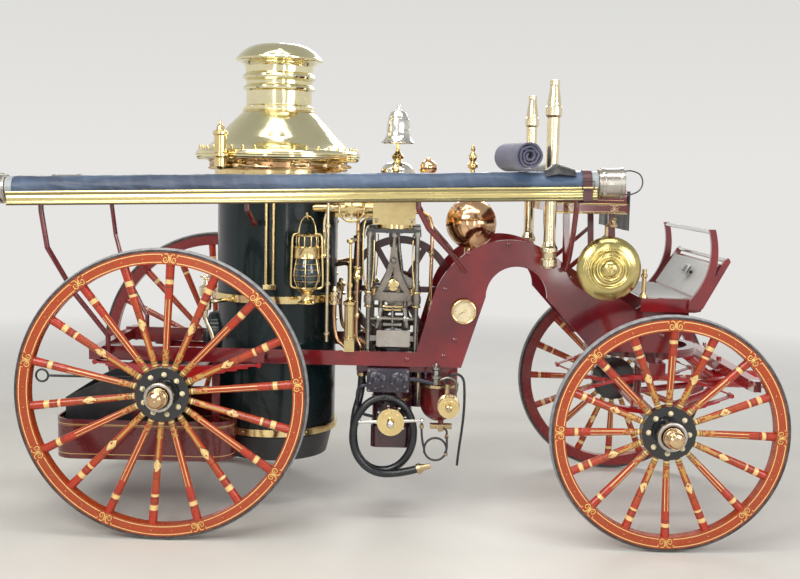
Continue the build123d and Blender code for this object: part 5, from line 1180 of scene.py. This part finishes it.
finishMesh(gauge, "gauge_dial", [creamPaint, dialInk, brass], "chassis")
print("pump and gauge fitted")

# hoses: straps, coupling lugs and the wire bails at the front ends

hoseLine = {"y": 0.650, "rise": 0.029, "z": 1.864, "radius": 0.0625}
hoseAlong = Vector((1, 0, hoseLine["rise"])).normalized()
hoseUp = Vector((-hoseLine["rise"], 0, 1)).normalized()


def onHose(x, sign, angle, radius):
    centre = Vector((x, sign * hoseLine["y"], hoseLine["z"] + hoseLine["rise"] * x))
    return centre + hoseUp * math.sin(angle) * radius + leftward * math.cos(angle) * radius


# each hose is a rubber tube in a sewn canvas cover, which lies in slack folds on the top and sides
hoseCover = {"from": -1.996, "to": 1.065, "rings": 520, "around": 44, "slack": 0.0030, "crease": 0.0034, "cuff": 0.034}


def coverHose(settings, sign):
    shape = bmesh.new()
    rows = []
    around = settings["around"]
    for k in range(settings["rings"] + 1):
        x = settings["from"] + (settings["to"] - settings["from"]) * k / settings["rings"]
        edge = min(x - settings["from"], settings["to"] - x)
        loose = min(1.0, max(0.0, edge - settings["cuff"]) / 0.03)
        row = []
        for j in range(around):
            turn = 2 * math.pi * j / around
            ups, side = math.sin(turn), math.cos(turn)
            free = loose * (0.25 + 0.75 * max(0.0, min(1.0, (ups + 0.45) / 0.6)))
            fold = noiseField.noise(Vector((x * 2.6 + 31 * sign, side * 0.9, ups * 0.9)))
            ridge = 1 - abs(noiseField.noise(Vector((x * 5.5 + ups * 1.1, side * 1.7 + 4 * sign,
                                                     ups * 1.7 + x * 1.9)))) * 3.2
            small = noiseField.noise(Vector((x * 26, side * 3.5, ups * 3.5 + 5 * sign)))
            reach = (0.0627 + free * (settings["slack"] * fold + settings["crease"] * max(0.0, ridge) ** 2 - 0.0014
                                      + 0.0007 * small))
            if settings["cuff"] - 0.004 < edge < settings["cuff"] + 0.004:
                reach -= 0.0012
            row.append(shape.verts.new(onHose(x, sign, turn, reach)))
        rows.append(row)
    for k in range(settings["rings"]):
        x = settings["from"] + (settings["to"] - settings["from"]) * (k + 0.5) / settings["rings"]
        part = 1 if min(x - settings["from"], settings["to"] - x) < settings["cuff"] else 0
        for j in range(around):
            face = shape.faces.new((rows[k][j], rows[k][(j + 1) % around], rows[k + 1][(j + 1) % around],
                                    rows[k + 1][j]))
            face.material_index = part
    shape.faces.new(rows[0][::-1])
    shape.faces.new(rows[-1])
    return shape


cuffCanvas = leather("cuff_canvas", (0.30, 0.33, 0.35), (0.42, 0.44, 0.44))
for side, sign in sides:
    cover = finishMesh(coverHose(hoseCover, sign), f"hose_canvas_{side}", [canvas, cuffCanvas], "chassis",
                       70)
    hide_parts(f"suction_hose_{side}")

strapShape = {"x": 1.006, "width": 0.046, "thick": 0.004, "clear": 0.006, "under": (
    (-0.0915, 0.045), (-0.0915, -0.012), (-0.05, -0.022), (0.05, -0.022), (0.0915, -0.012), (0.0915, 0.045)),
    "buckle": ((-0.030, -0.022), (0.030, -0.022), (0.030, 0.022), (-0.030, 0.022))}
couplingShape = {"ends": ((1.067, 1.200), (-1.998, -2.208)), "lugRows": (0.21, 0.88), "lugs": 4, "lugCircle": 0.0785,
                 "beads": ((0.03, 0.0725), (0.24, 0.0772), (0.82, 0.0772), (0.985, 0.0725))}
bailShape = ((0.060, -0.004), (0.063, 0.040), (0.044, 0.084), (0.004, 0.099), (-0.036, 0.084), (-0.058, 0.040),
             (-0.058, -0.004))
for side, sign in sides:
    strap = bmesh.new()
    x, y = strapShape["x"], sign * hoseLine["y"]
    level = hoseLine["z"] + hoseLine["rise"] * x
    # over the hose, then down round the tray
    path = [onHose(x, sign, math.radians(a), hoseLine["radius"] + strapShape["clear"]) for a in range(-10, 191, 10)]
    path += [Vector((x, y + a, level - 0.076 + b)) for a, b in strapShape["under"]]
    half, thick = strapShape["width"] / 2, strapShape["thick"]
    rows = []
    count = len(path)
    for k, point in enumerate(path):
        along = (path[(k + 1) % count] - path[k - 1]).normalized()
        out = along.cross(hoseAlong).normalized()
        rows.append([strap.verts.new(point + hoseAlong * a * half + out * b * thick / 2)
                     for a, b in ((-1, -1), (1, -1), (1, 1), (-1, 1))])
    for k in range(count):
        low4, high4 = rows[k], rows[(k + 1) % count]
        for j in range(4):
            strap.faces.new((low4[j], low4[(j + 1) % 4], high4[(j + 1) % 4], high4[j])).material_index = 0
    buckleY, z = y + sign * 0.095, level - 0.01
    addTube(strap, [(x + a, buckleY, z + b) for a, b in strapShape["buckle"]], 0.0032, 8, closed=True, index=1)
    finishMesh(strap, f"hose_strap_{side}", [maroonLeather, blackIron], "chassis")

    lugs = bmesh.new()
    for start, finish in couplingShape["ends"]:
        for share in couplingShape["lugRows"]:
            x = start + (finish - start) * share
            for k in range(couplingShape["lugs"]):
                turn = math.radians(45 + 90 * k + (20 if share > 0.5 else 0))
                spot = onHose(x, sign, turn, couplingShape["lugCircle"])
                out = (hoseUp * math.sin(turn) + leftward * math.cos(turn)).normalized()
                addTurned(lugs, [(0.0095, -0.004), (0.0095, 0.0025), (0.006, 0.0045), (0, 0.005)], spot, out, 12)
        for share, radius in couplingShape["beads"]:
            x = start + (finish - start) * share
            addTube(lugs, [onHose(x, sign, 2 * math.pi * k / 40, radius) for k in range(40)], 0.0018, 6, closed=True)
    finishMesh(lugs, f"coupling_rings_{side}", pewter, "chassis")

    bail = bmesh.new()
    centre = onHose(1.20, sign, 0, 0)
    addPipe(bail, [centre + hoseUp * a + hoseAlong * b for a, b in bailShape], 0.0036, 8, 8)
    finishMesh(bail, f"coupling_bail_{side}", blackIron, "chassis")

# a leather flap lies over the right hose behind the strap, arched where it has stiffened
flapShape = {"x": (0.792, 0.948), "half": 0.070, "rise": 0.030, "thick": 0.004, "bend": 0.068, "above": 0.0705}
flap = bmesh.new()
steps, across = 24, 12
rows = []
for k in range(steps + 1):
    share = k / steps
    x = flapShape["x"][0] + (flapShape["x"][1] - flapShape["x"][0]) * share
    lift = flapShape["rise"] * math.sin(math.pi * share) ** 1.5 * (1 + 0.25 * math.sin(7 * share))
    row = []
    for j in range(across + 1):
        turn = math.pi / 2 + (j / across - 0.5) * 2 * flapShape["half"] / flapShape["bend"]
        away = flapShape["above"] + lift * (0.65 + 0.35 * math.sin(math.pi * j / across))
        row.append((onHose(x, -1, turn, away), onHose(x, -1, turn, away + flapShape["thick"])))
    rows.append(row)
flapGrid = [[(flap.verts.new(a), flap.verts.new(b)) for a, b in row] for row in rows]
for a, b in zip(flapGrid, flapGrid[1:]):
    for j in range(across):
        flap.faces.new((a[j][0], b[j][0], b[j + 1][0], a[j + 1][0]))
        flap.faces.new((a[j][1], a[j + 1][1], b[j + 1][1], b[j][1]))
    for j in (0, across):
        flap.faces.new((a[j][0], a[j][1], b[j][1], b[j][0]))
for row in (flapGrid[0], flapGrid[-1]):
    for j in range(across):
        flap.faces.new((row[j][0], row[j + 1][0], row[j + 1][1], row[j][1]))
flapPiece = finishMesh(flap, "hose_flap", blackLeather, "chassis", 60)
print("hoses strapped")

# lanterns: brass tank and hood, caged dark globe, side tubes and bail

# pairs of reach and height over the foot; the hook's pairs are a side offset and a height over the ground
lanternShape = {
    "x": -0.453, "y": 0.450, "foot": 1.208, "cage": 0.0765, "wires": 6, "hoops": (0.128, 0.160, 0.192, 0.222),
    "wire": ((0.054, 0.090), (0.070, 0.128), (0.0765, 0.165), (0.070, 0.205), (0.062, 0.250)),
    "tube": ((0.050, 0.086), (0.080, 0.094), (0.086, 0.125), (0.083, 0.240), (0.079, 0.350), (0.070, 0.378),
             (0.040, 0.383)),
    "hook": ((0.255, 1.640), (0.340, 1.652), (0.420, 1.664), (0.462, 1.676), (0.478, 1.692), (0.480, 1.706)),
}


def darkGlass():
    material, tree, shader = startMaterial("lantern_glass", Roughness=0.04, Coat_Weight=1.0, Coat_Roughness=0.02)
    shader.inputs["Transmission Weight"].default_value = 0.35
    shader.inputs["IOR"].default_value = 1.5
    smoke = spread(tree, clouds(tree, 18, 3), 0.35, 0.7, 0, 1)
    feed(tree, shader, Base_Color=mixColour(tree, smoke, (0.012, 0.03, 0.045), (0.03, 0.07, 0.085)))
    feed(tree, shader, Normal=bump(tree, clouds(tree, 26, 1), 0.0015, 0.4))
    return material


globeGlass = darkGlass()
for side, sign in sides:
    body = bmesh.new()
    foot = Vector((lanternShape["x"], sign * lanternShape["y"], lanternShape["foot"]))
    addTurned(body, [(0, 0), (0.044, 0), (0.050, 0.004), (0.050, 0.011), (0.034, 0.018), (0.027, 0.028), (0.027, 0.052),
                     (0.033, 0.066), (0.046, 0.078), (0.058, 0.084), (0.061, 0.090), (0.058, 0.096), (0.044, 0.098),
                     (0, 0.098)],
              foot, upward, 40)
    addTurned(body, [(0.050, 0.246), (0.064, 0.248), (0.069, 0.253), (0.067, 0.258), (0.067, 0.306), (0.070, 0.311),
                     (0.065, 0.317), (0.053, 0.319), (0, 0.320)], foot, upward, 40)
    addTurned(body, [(0.050, 0.318), (0.052, 0.322), (0.052, 0.366), (0.050, 0.370)], foot, upward, 36, 1)
    addTurned(body, [(0.050, 0.368), (0.068, 0.370), (0.071, 0.375), (0.067, 0.381), (0.040, 0.387), (0.012, 0.391),
                     (0, 0.3915)],
              foot, upward, 40)
    for out in circle((0, 0, 0), 1, 10, forward, leftward, 0.16):
        addTube(body, [foot + out * a + upward * b for a, b in ((0.056, 0.318), (0.0585, 0.344), (0.056, 0.370))],
                0.0042, 8)
    addTurned(body, [(0.010, 0.030), (0.010, 0.044), (0.015, 0.046), (0.015, 0.052), (0, 0.054)],
              foot + Vector((0.034, sign * 0.010, 0)), upward, 16)
    for z in lanternShape["hoops"]:
        reach = lanternShape["cage"] - 0.012 * abs(z - 0.165) / 0.06
        addTube(body, circle(foot + upward * z, reach, 32, forward, leftward), 0.0022, 6, closed=True)
    for out in circle((0, 0, 0), 1, lanternShape["wires"], forward, leftward, 0.5):
        addPipe(body, [foot + out * a + upward * b for a, b in lanternShape["wire"]], 0.0022, 6, 4)
    # side tubes, wider apart at the foot
    for hand in (-1, 1):
        addPipe(body, [foot + forward * hand * a + upward * b for a, b in lanternShape["tube"]], 0.0070)
    arch = [foot + Vector((math.cos(t) * 0.046, 0.012 * math.sin(t), 0.388 + math.sin(t) * 0.092)) for t in
            (math.pi * k / 20 for k in range(21))]
    addTube(body, arch, 0.0030, 8)
    addPipe(body, [(lanternShape["x"], sign * y, z) for y, z in lanternShape["hook"]], 0.0065, 10, 5)
    lantern = finishMesh(body, f"lantern_{side}", [brass, blackIron], "chassis")
    if side == "right":
        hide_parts("lanterns")
    globe = bmesh.new()
    addTurned(globe, [(0.042, 0.097), (0.054, 0.112), (0.067, 0.138), (0.0715, 0.163), (0.068, 0.192), (0.058, 0.225),
                      (0.052, 0.247)], foot, upward, 36)
    finishMesh(globe, f"lantern_globe_{side}", globeGlass, "chassis")
print("lanterns hung")

# seat: a padded leather cushion, the rolled back rail, the board behind it and the apron

seatShape = {"low": (0.923, -0.436, 1.757), "high": (1.230, 0.436, 1.868), "pressure": 3.2, "cap": 0.010,
             "roll": (0.872, 1.955), "rollHalf": 0.446}


def padded(name, low, high, pressure, cap, material, body, seams):
    low, high = Vector(low), Vector(high)
    shape = bmesh.new()
    addBlock(shape, low + Vector((0.006, 0.006, 0.004)), high - Vector((0.006, 0.006, 0.012)), 0.022)
    piece = finishMesh(shape, name, material, body, 60)
    piece.parent = None    # free while it is shaped, and it rides again below
    remesh = piece.modifiers.new("remesh", "REMESH")
    remesh.mode = "VOXEL"
    remesh.voxel_size = 0.009
    applyModifiers(piece)
    rest = [vert.co.copy() for vert in piece.data.vertices]
    cloth = piece.modifiers.new("cloth", "CLOTH")
    cloth.settings.use_pressure = True
    cloth.settings.uniform_pressure_force = pressure
    cloth.settings.effector_weights.gravity = 0
    cloth.settings.quality = 5
    for step in range(1, 19):
        bpy.context.scene.frame_set(step)
    applyModifiers(piece)
    bpy.context.scene.frame_set(1)
    for vert, old in zip(piece.data.vertices, rest):
        move = vert.co - old
        if move.length > cap:
            vert.co = old + move.normalized() * cap
        # sewn channels pull the top in, and the foot stays flat on its board
        pull = max(0.0, 1 - abs((vert.co.y - round(vert.co.y / seams) * seams)) / 0.016)
        if vert.co.z > (low.z + high.z) / 2:
            vert.co.z -= 0.007 * pull ** 1.5
        vert.co.z = max(vert.co.z, low.z)
        for axis in range(3):
            vert.co[axis] = min(max(vert.co[axis], low[axis] - 0.003), high[axis] + 0.010)
    smooth = piece.modifiers.new("soften", "SMOOTH")
    smooth.iterations = 2
    applyModifiers(piece)
    for polygon in piece.data.polygons:
        polygon.use_smooth = True
    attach(piece, body)
    return piece


def applyModifiers(piece):
    bpy.context.view_layer.update()
    graph = bpy.context.evaluated_depsgraph_get()
    mesh = bpy.data.meshes.new_from_object(piece.evaluated_get(graph))
    old = piece.data
    piece.modifiers.clear()
    piece.data = mesh
    mesh.name = old.name
    bpy.data.meshes.remove(old)


cushion = padded("seat_pad", seatShape["low"], seatShape["high"], seatShape["pressure"], seatShape["cap"],
                 blackLeather, "chassis", 0.145)
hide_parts("seat_cushion")

piping = bmesh.new()
low, high = Vector(seatShape["low"]), Vector(seatShape["high"])
for z, inset in ((high.z - 0.012, 0.004), (low.z + 0.016, 0.002)):
    corners = [(low.x + inset, low.y + inset), (high.x - inset, low.y + inset), (high.x - inset, high.y - inset),
               (low.x + inset, high.y - inset)]
    line = []
    for k, (x, y) in enumerate(corners):
        cx = x + (0.020 if k in (0, 3) else -0.020)
        cy = y + (0.020 if k in (0, 1) else -0.020)
        first = math.pi * (1 + k / 2)
        line += [Vector((cx + 0.020 * math.cos(first + math.pi / 2 * j / 5),
                         cy + 0.020 * math.sin(first + math.pi / 2 * j / 5), z))
                 for j in range(6)]
    addTube(piping, line, 0.0045, 8, closed=True)
finishMesh(piping, "seat_piping", maroonLeather, "chassis")

roll = bmesh.new()
rings = 60
rows = []
for k in range(rings + 1):
    y = -seatShape["rollHalf"] + 2 * seatShape["rollHalf"] * k / rings
    inEnd = min(1.0, (min(k, rings - k) / 3.0)) if 0 < k < rings else 0.0
    full = (0.80 + 0.20 * math.sqrt(inEnd)) * (1 - 0.05 * max(0, 1 - abs(y - round(y / 0.148) * 0.148) / 0.012))
    row = []
    for t in (2 * math.pi * j / 32 for j in range(32)):
        puff = 0.0012 * noiseField.noise(Vector((y * 14, math.cos(t) * 2, math.sin(t) * 2)))
        row.append(roll.verts.new((seatShape["roll"][0] + 0.043 * full * math.cos(t), y,
                                   seatShape["roll"][1] + 0.051 * full * math.sin(t) + puff)))
    rows.append(row)
for a, b in zip(rows, rows[1:]):
    for j in range(32):
        roll.faces.new((a[j], a[(j + 1) % 32], b[(j + 1) % 32], b[j]))
roll.faces.new(rows[0][::-1])
roll.faces.new(rows[-1])
seatRoll = finishMesh(roll, "seat_roll", blackLeather, "chassis", 50)
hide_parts("seat_back")

board = bmesh.new()
addBlock(board, (0.8625, -0.459, 1.7905), (0.8815, 0.459, 1.9795), 0.003, 0)
addBlock(board, (0.8605, -0.455, 1.7905), (0.8635, 0.455, 1.803), 0.001, 1)
for sign in (-1, 1):
    addTube(board, [(0.872, sign * 0.456, 1.795), (0.872, sign * 0.456, 1.955)], 0.006, 10, index=1)
    addTurned(board, [(0.026, 0), (0.026, 0.003), (0.020, 0.008), (0.008, 0.011), (0, 0.011)],
              (seatShape["roll"][0], sign * 0.4465, seatShape["roll"][1]), leftward * sign, 24, 1)
finishMesh(board, "seat_back_board", [maroon, brass], "chassis")

# leather apron: its plane and top, the waves that grow downward, and the gap between its two skins
apronShape = {"x": 1.2745, "top": 1.856, "half": 0.444, "drop": 0.212, "wave": 0.004, "waves": 30, "thick": 0.006}
apron = bmesh.new()
columns, stepsDown = 36, 12
for skin in (0, 1):
    grid = [[apron.verts.new((apronShape["x"] + apronShape["thick"] * skin
                              + apronShape["wave"] * math.sin(k / columns * apronShape["waves"]) * (j / stepsDown),
                              apronShape["half"] * (2 * k / columns - 1),
                              apronShape["top"] - apronShape["drop"] * j / stepsDown))
             for j in range(stepsDown + 1)] for k in range(columns + 1)]
    for k in range(columns):
        for j in range(stepsDown):
            corners = (grid[k][j], grid[k + 1][j], grid[k + 1][j + 1], grid[k][j + 1])
            apron.faces.new(corners if skin else corners[::-1])
    if skin == 0:
        back = grid
    else:
        edge = ([(k, 0) for k in range(columns)] + [(columns, j) for j in range(stepsDown)]
                + [(k, stepsDown) for k in range(columns, 0, -1)] + [(0, j) for j in range(stepsDown, 0, -1)])
        for (a, b), (c, d) in zip(edge, edge[1:] + edge[:1]):
            apron.faces.new((back[a][b], back[c][d], grid[c][d], grid[a][b]))
apronPiece = finishMesh(apron, "seat_apron", blackLeather, "chassis", 50)
studs = bmesh.new()
for k in range(25):
    addTurned(studs, [(0.006, -0.001), (0.0055, 0.0015), (0, 0.003)], (1.2805, -0.432 + 0.036 * k, 1.846), forward, 10)
for sign in (-1, 1):
    for z, thick in ((1.7365, 0.0045), (1.787, 0.0035)):
        addTube(studs, [(0.872, sign * 0.4605, z), (1.262, sign * 0.4605, z)], thick, 8)
finishMesh(studs, "seat_brass", brass, "chassis")
sideBoards = bmesh.new()
gold = bmesh.new()
for side, sign in sides:
    outside = leftward * sign
    inner, outer = sign * 0.4405, sign * 0.4525
    addBlock(sideBoards, (0.884, min(inner, outer), 1.7905), (1.262, max(inner, outer), 1.866), 0.004)
    for z in (1.745, 1.780):
        addRibbon(gold, [Vector((x, sign * 0.4606, z)) for x in (0.893, 1.254)], outside, 0.0028, 0.0006)
    for x in (1.195, 0.950):
        addScroll(gold, Vector((x, sign * 0.4606, 1.762)), forward, upward, outside, 0.62)
    frameLine = [(0.900, 1.806), (1.246, 1.806), (1.246, 1.852), (0.900, 1.852), (0.900, 1.806)]
    addRibbon(gold, [Vector((x, sign * 0.4527, z)) for x, z in frameLine], outside, 0.0026, 0.0005)
finishMesh(sideBoards, "seat_side_boards", maroon, "chassis")
finishMesh(gold, "seat_gilding", agedBrass, "chassis")
print("seat upholstered")

# blanket: one strip of wool wound into a roll, its end showing the turns

blanketShape = {"front": (0.706, -0.742, 2.0265), "turned": 21, "long": 0.258, "half": (0.086, 0.079), "turns": 3.5,
                "core": 0.17, "thick": 0.0098}
blanketTurn = Matrix.Rotation(math.radians(blanketShape["turned"]), 3, "Z")
blanketAlong, blanketSide = blanketTurn @ leftward, blanketTurn @ forward


def inBlanket(reach, depth, rise):
    return Vector(blanketShape["front"]) + blanketSide * reach + blanketAlong * depth + upward * rise


def windBlanket(settings):
    shape = bmesh.new()
    count, across = 260, 14
    layers = []
    length = 0.0
    last = None
    for k in range(count + 1):
        share = k / count
        turn = 2 * math.pi * settings["turns"] * share + 2.0
        size = settings["core"] + (0.94 - settings["core"]) * share
        wave = 1 + 0.24 * (1.04 - share) * noiseField.noise(Vector((math.cos(turn) * 1.6, math.sin(turn) * 1.6,
                                                                    share * 5)))
        point = Vector((settings["half"][0] * size * wave * math.cos(turn), 0,
                        settings["half"][1] * size * wave * math.sin(turn)))
        length += (point - last).length if last is not None else 0
        last = point
        layers.append((point, turn, share))
    rows = []
    for point, turn, share in layers:
        out = Vector((math.cos(turn) / settings["half"][0], 0, math.sin(turn) / settings["half"][1])).normalized()
        row = []
        for j in range(across + 1):
            y = 0.002 + settings["long"] * j / across
            y += 0.007 * noiseField.noise(Vector((turn * 0.35, 3.0 * share, 0.0))) * (1 - 2 * j / across)
            for half in (-0.5, 0.5):
                spot = point + out * half * settings["thick"]
                row.append(shape.verts.new(inBlanket(spot.x, y, spot.z)))
        rows.append(row)
    for a, b in zip(rows, rows[1:]):
        for j in range(across):
            inner, outer = 2 * j, 2 * j + 1
            shape.faces.new((a[inner], a[inner + 2], b[inner + 2], b[inner]))
            shape.faces.new((a[outer], b[outer], b[outer + 2], a[outer + 2]))
        for j in (0, across):
            shape.faces.new((a[2 * j], b[2 * j], b[2 * j + 1], a[2 * j + 1]))
    for row in (rows[0], rows[-1]):
        for j in range(across):
            shape.faces.new((row[2 * j], row[2 * j + 1], row[2 * j + 3], row[2 * j + 2]))
    return shape, length


blanketMesh, blanketLength = windBlanket(blanketShape)
blanket = finishMesh(blanketMesh, "blanket", blanketWool, "chassis", 70)
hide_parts("blanket_roll")
print("blanket rolled")

# small trim of frame, springs, dash and bell

dress("dash_rails", maroon, nickel, brass,
      rule=lambda spot: 2 if abs(spot.y) < 0.47 and spot.x < 1.45 else 1 if abs(spot.y) < 0.499 else 0)

# where bolt heads show on the frame plates
frameBolts = ((-1.61, 0.905), (-1.57, 0.905), (-0.71, 0.905), (-0.67, 0.905), (0.10, 0.905), (0.30, 0.930),
              (0.36, 1.02), (0.30, 1.30), (0.42, 1.50), (0.64, 1.555), (0.93, 1.42), (0.99, 1.38), (1.24, 1.07),
              (1.38, 1.07), (1.50, 1.07), (1.18, 1.02), (1.56, 1.10), (0.88, 1.47))
bolts = bmesh.new()
for side, sign in sides:
    face = sign * 0.385
    for x, z in frameBolts:
        addTurned(bolts, [(0.0135, -0.001), (0.0130, 0.004), (0.008, 0.0075), (0, 0.0085)], (x, face, z),
                  leftward * sign, 14)
finishMesh(bolts, "frame_bolts", maroon, "chassis")

clips = bmesh.new()
for side, sign in sides:
    y0, y1 = sign * 0.413, sign * 0.467
    addBlock(clips, (-1.186, min(y0, y1), 0.786), (-1.134, max(y0, y1), 0.800), 0.002)
finishMesh(clips, "spring_clips", blackIron, "chassis")

# ribbed mats on the footboard and the toe board, and the black pedal of the gong
matShape = {"half": 0.440, "ribs": 44, "thick": 0.003}
mats = bmesh.new()
toeLow, toeAlong, toeOut = Vector((1.640, 0, 1.291)), Vector((0.534, 0, 0.845)), Vector((-0.845, 0, 0.534))
addBlock(mats, (1.372, -matShape["half"], 1.2865), (1.626, matShape["half"], 1.2865 + matShape["thick"]), 0.001)
corners = [toeLow + toeAlong * a + leftward * b * matShape["half"] + toeOut * c
           for a in (0.006, 0.212) for b in (-1, 1) for c in (0.0, 0.004)]
points = [mats.verts.new(corner) for corner in corners]
for a, b, c, d in ((0, 1, 3, 2), (4, 6, 7, 5), (0, 4, 5, 1), (2, 3, 7, 6), (0, 2, 6, 4), (1, 5, 7, 3)):
    mats.faces.new((points[a], points[b], points[c], points[d]))
for k in range(matShape["ribs"]):
    y = -matShape["half"] + 0.008 + (2 * matShape["half"] - 0.016) * k / (matShape["ribs"] - 1)
    addRibbon(mats, [Vector((1.378, y, 1.2897)), Vector((1.620, y, 1.2897))], upward, 0.006, 0.0012)
    addRibbon(mats, [toeLow + toeAlong * a + leftward * y + toeOut * 0.0042 for a in (0.014, 0.204)], toeOut,
              0.006, 0.0012)
pedalFoot = toeLow + toeAlong * 0.130 + leftward * -0.150 + toeOut * 0.004
addTube(mats, [pedalFoot - toeOut * 0.004, pedalFoot + toeOut * 0.034], 0.0085, 12, index=1)
tread, half = pedalFoot + toeOut * 0.036, Vector((0.010, 0.045, 0.028))
addBlock(mats, tread - half, tread + half, 0.006, 1, Matrix.Rotation(0.563, 3, "Y"))
matGrey = castIron("mat_grey", (0.46, 0.46, 0.45), (0.30, 0.29, 0.28), 0.42, 0.0003)
finishMesh(mats, "foot_mats", [matGrey, blackIron], "chassis")

striker = bmesh.new()
addPipe(striker, [(1.150, -0.50, 1.672), (1.160, -0.56, 1.690), (1.165, -0.61, 1.680)], 0.008, 10, 5)
addTurned(striker, [(0.010, -0.010), (0.022, -0.006), (0.024, 0.004), (0.016, 0.012), (0.012, 0.026), (0.018, 0.032),
                    (0.012, 0.040), (0, 0.042)], (1.165, -0.600, 1.676), upward, 22)
addTube(striker, [(1.150, -0.50, 1.60), (1.150, -0.50, 1.672)], 0.010, 10)
finishMesh(striker, "gong_striker", agedBrass, "chassis")

bellRings = bmesh.new()
for radius, z in ((0.0972, 2.1045), (0.0835, 2.121), (0.0672, 2.172), (0.0655, 2.180), (0.0610, 2.238)):
    addTube(bellRings, circle((0.020, 0, z), radius, 48, forward, leftward), 0.0018, 6, closed=True)
finishMesh(bellRings, "bell_rings", nickel, "chassis")
print("trim fitted")

# floor, air and lamps

studio = {
    "floor": (0.70, 0.68, 0.64), "horizon": (0.80, 0.79, 0.77), "overhead": (0.44, 0.45, 0.43), "air": 0.60,
    "near": 3.2, "far": 9.0,
    # each lamp: its place, what it points at, its size, its power and its colour
    "lamps": {
        "key": ((-2.6, -5.2, 4.6), (0, -0.3, 1.0), (3.4, 2.2), 210, (1, 0.97, 0.92)),
        "fill": ((4.2, -4.4, 2.8), (0.3, 0, 0.9), (2.2, 2.2), 95, (0.95, 0.97, 1)),
        "back": ((1.0, 4.8, 4.4), (0, 0, 1.2), (4.5, 1.6), 150, (1, 1, 1)),
        "strip": ((0.2, -2.2, 5.2), (0, 0, 1.4), (5.0, 0.5), 90, (1, 0.98, 0.95)),
        "tubeA": ((-0.75, -0.9, 5.4), (-0.7, -0.3, 2.0), (0.22, 2.6), 16, (1, 1, 0.95)),
        "tubeB": ((-1.75, -0.7, 5.2), (-0.9, -0.2, 2.0), (0.20, 2.4), 14, (1, 1, 0.95)),
        "tubeC": ((0.35, -0.8, 5.3), (-0.4, -0.2, 2.0), (0.20, 2.4), 14, (1, 1, 0.95)),
        "tall": ((-1.5, -5.4, 2.6), (-0.6, 0, 1.7), (0.3, 3.2), 22, (1, 0.99, 0.94)),
        "edge": ((1.6, -5.2, 2.4), (0.0, 0, 1.7), (0.25, 3.0), 18, (1, 0.99, 0.94)),
    },
}


# 1 for the rays that show the surroundings in the picture, in gloss or through glass
def showing(tree):
    rays = tree.nodes.new("ShaderNodeLightPath")
    direct = calc(tree, "MAXIMUM", rays.outputs["Is Camera Ray"], rays.outputs["Is Glossy Ray"])
    return calc(tree, "MAXIMUM", direct, rays.outputs["Is Transmission Ray"])


def makeStudio(settings):
    scene = bpy.context.scene
    scene.view_settings.view_transform = "Standard"
    shape = bmesh.new()
    bmesh.ops.create_grid(shape, x_segments=1, y_segments=1, size=30)
    mesh = bpy.data.meshes.new("floor")
    shape.to_mesh(mesh)
    shape.free()
    floor = bpy.data.objects.new("floor", mesh)
    scene.collection.objects.link(floor)
    material, tree, shader = startMaterial("floor_screed")
    marks = spread(tree, clouds(tree, 1.4, 6, 0.6), 0.35, 0.7, 0, 1)
    feed(tree, shader, Base_Color=mixColour(tree, marks, settings["floor"], [c * 0.93 for c in settings["floor"]]))
    roughen(tree, shader, 3, 5, 0.42, 0.6, 0.7)
    # far from the object the floor turns into the colour of the air, for the rays that show it
    seen = showing(tree)
    x, y, z = axes(tree)
    away = calc(tree, "SQRT", calc(tree, "ADD", calc(tree, "MULTIPLY", x, x), calc(tree, "MULTIPLY", y, y)))
    fade = spread(tree, away, settings["near"], settings["far"], 0, 1)
    glow = tree.nodes.new("ShaderNodeEmission")
    glow.inputs["Color"].default_value = (*settings["horizon"], 1)
    blend = tree.nodes.new("ShaderNodeMixShader")
    tree.links.new(calc(tree, "MULTIPLY", fade, seen), blend.inputs[0])
    tree.links.new(shader.outputs[0], blend.inputs[1])
    tree.links.new(glow.outputs[0], blend.inputs[2])
    tree.links.new(blend.outputs[0], tree.nodes["Material Output"].inputs["Surface"])
    mesh.materials.append(material)

    world = bpy.data.worlds.new("air")
    world.use_nodes = True
    tree = world.node_tree
    spot = tree.nodes.new("ShaderNodeTexCoord")
    split = tree.nodes.new("ShaderNodeSeparateXYZ")
    tree.links.new(spot.outputs["Generated"], split.inputs[0])
    rise = spread(tree, split.outputs[2], 0.02, 0.75, 0, 1)
    sky = mixColour(tree, rise, settings["horizon"], settings["overhead"])
    background = tree.nodes["Background"]
    tree.links.new(sky, background.inputs["Color"])
    tree.links.new(spread(tree, showing(tree), 0, 1, settings["air"], 1.0), background.inputs["Strength"])
    scene.world = world

    for name, (place, aim, size, power, colour) in settings["lamps"].items():
        data = bpy.data.lights.new(name, "AREA")
        data.shape = "RECTANGLE"
        data.size, data.size_y = size
        data.energy = power
        data.color = colour
        light = bpy.data.objects.new(name, data)
        light.location = place
        light.rotation_mode = "QUATERNION"
        light.rotation_quaternion = (Vector(aim) - Vector(place)).to_track_quat("-Z", "Y")
        scene.collection.objects.link(light)


makeStudio(studio)
print("studio lit")
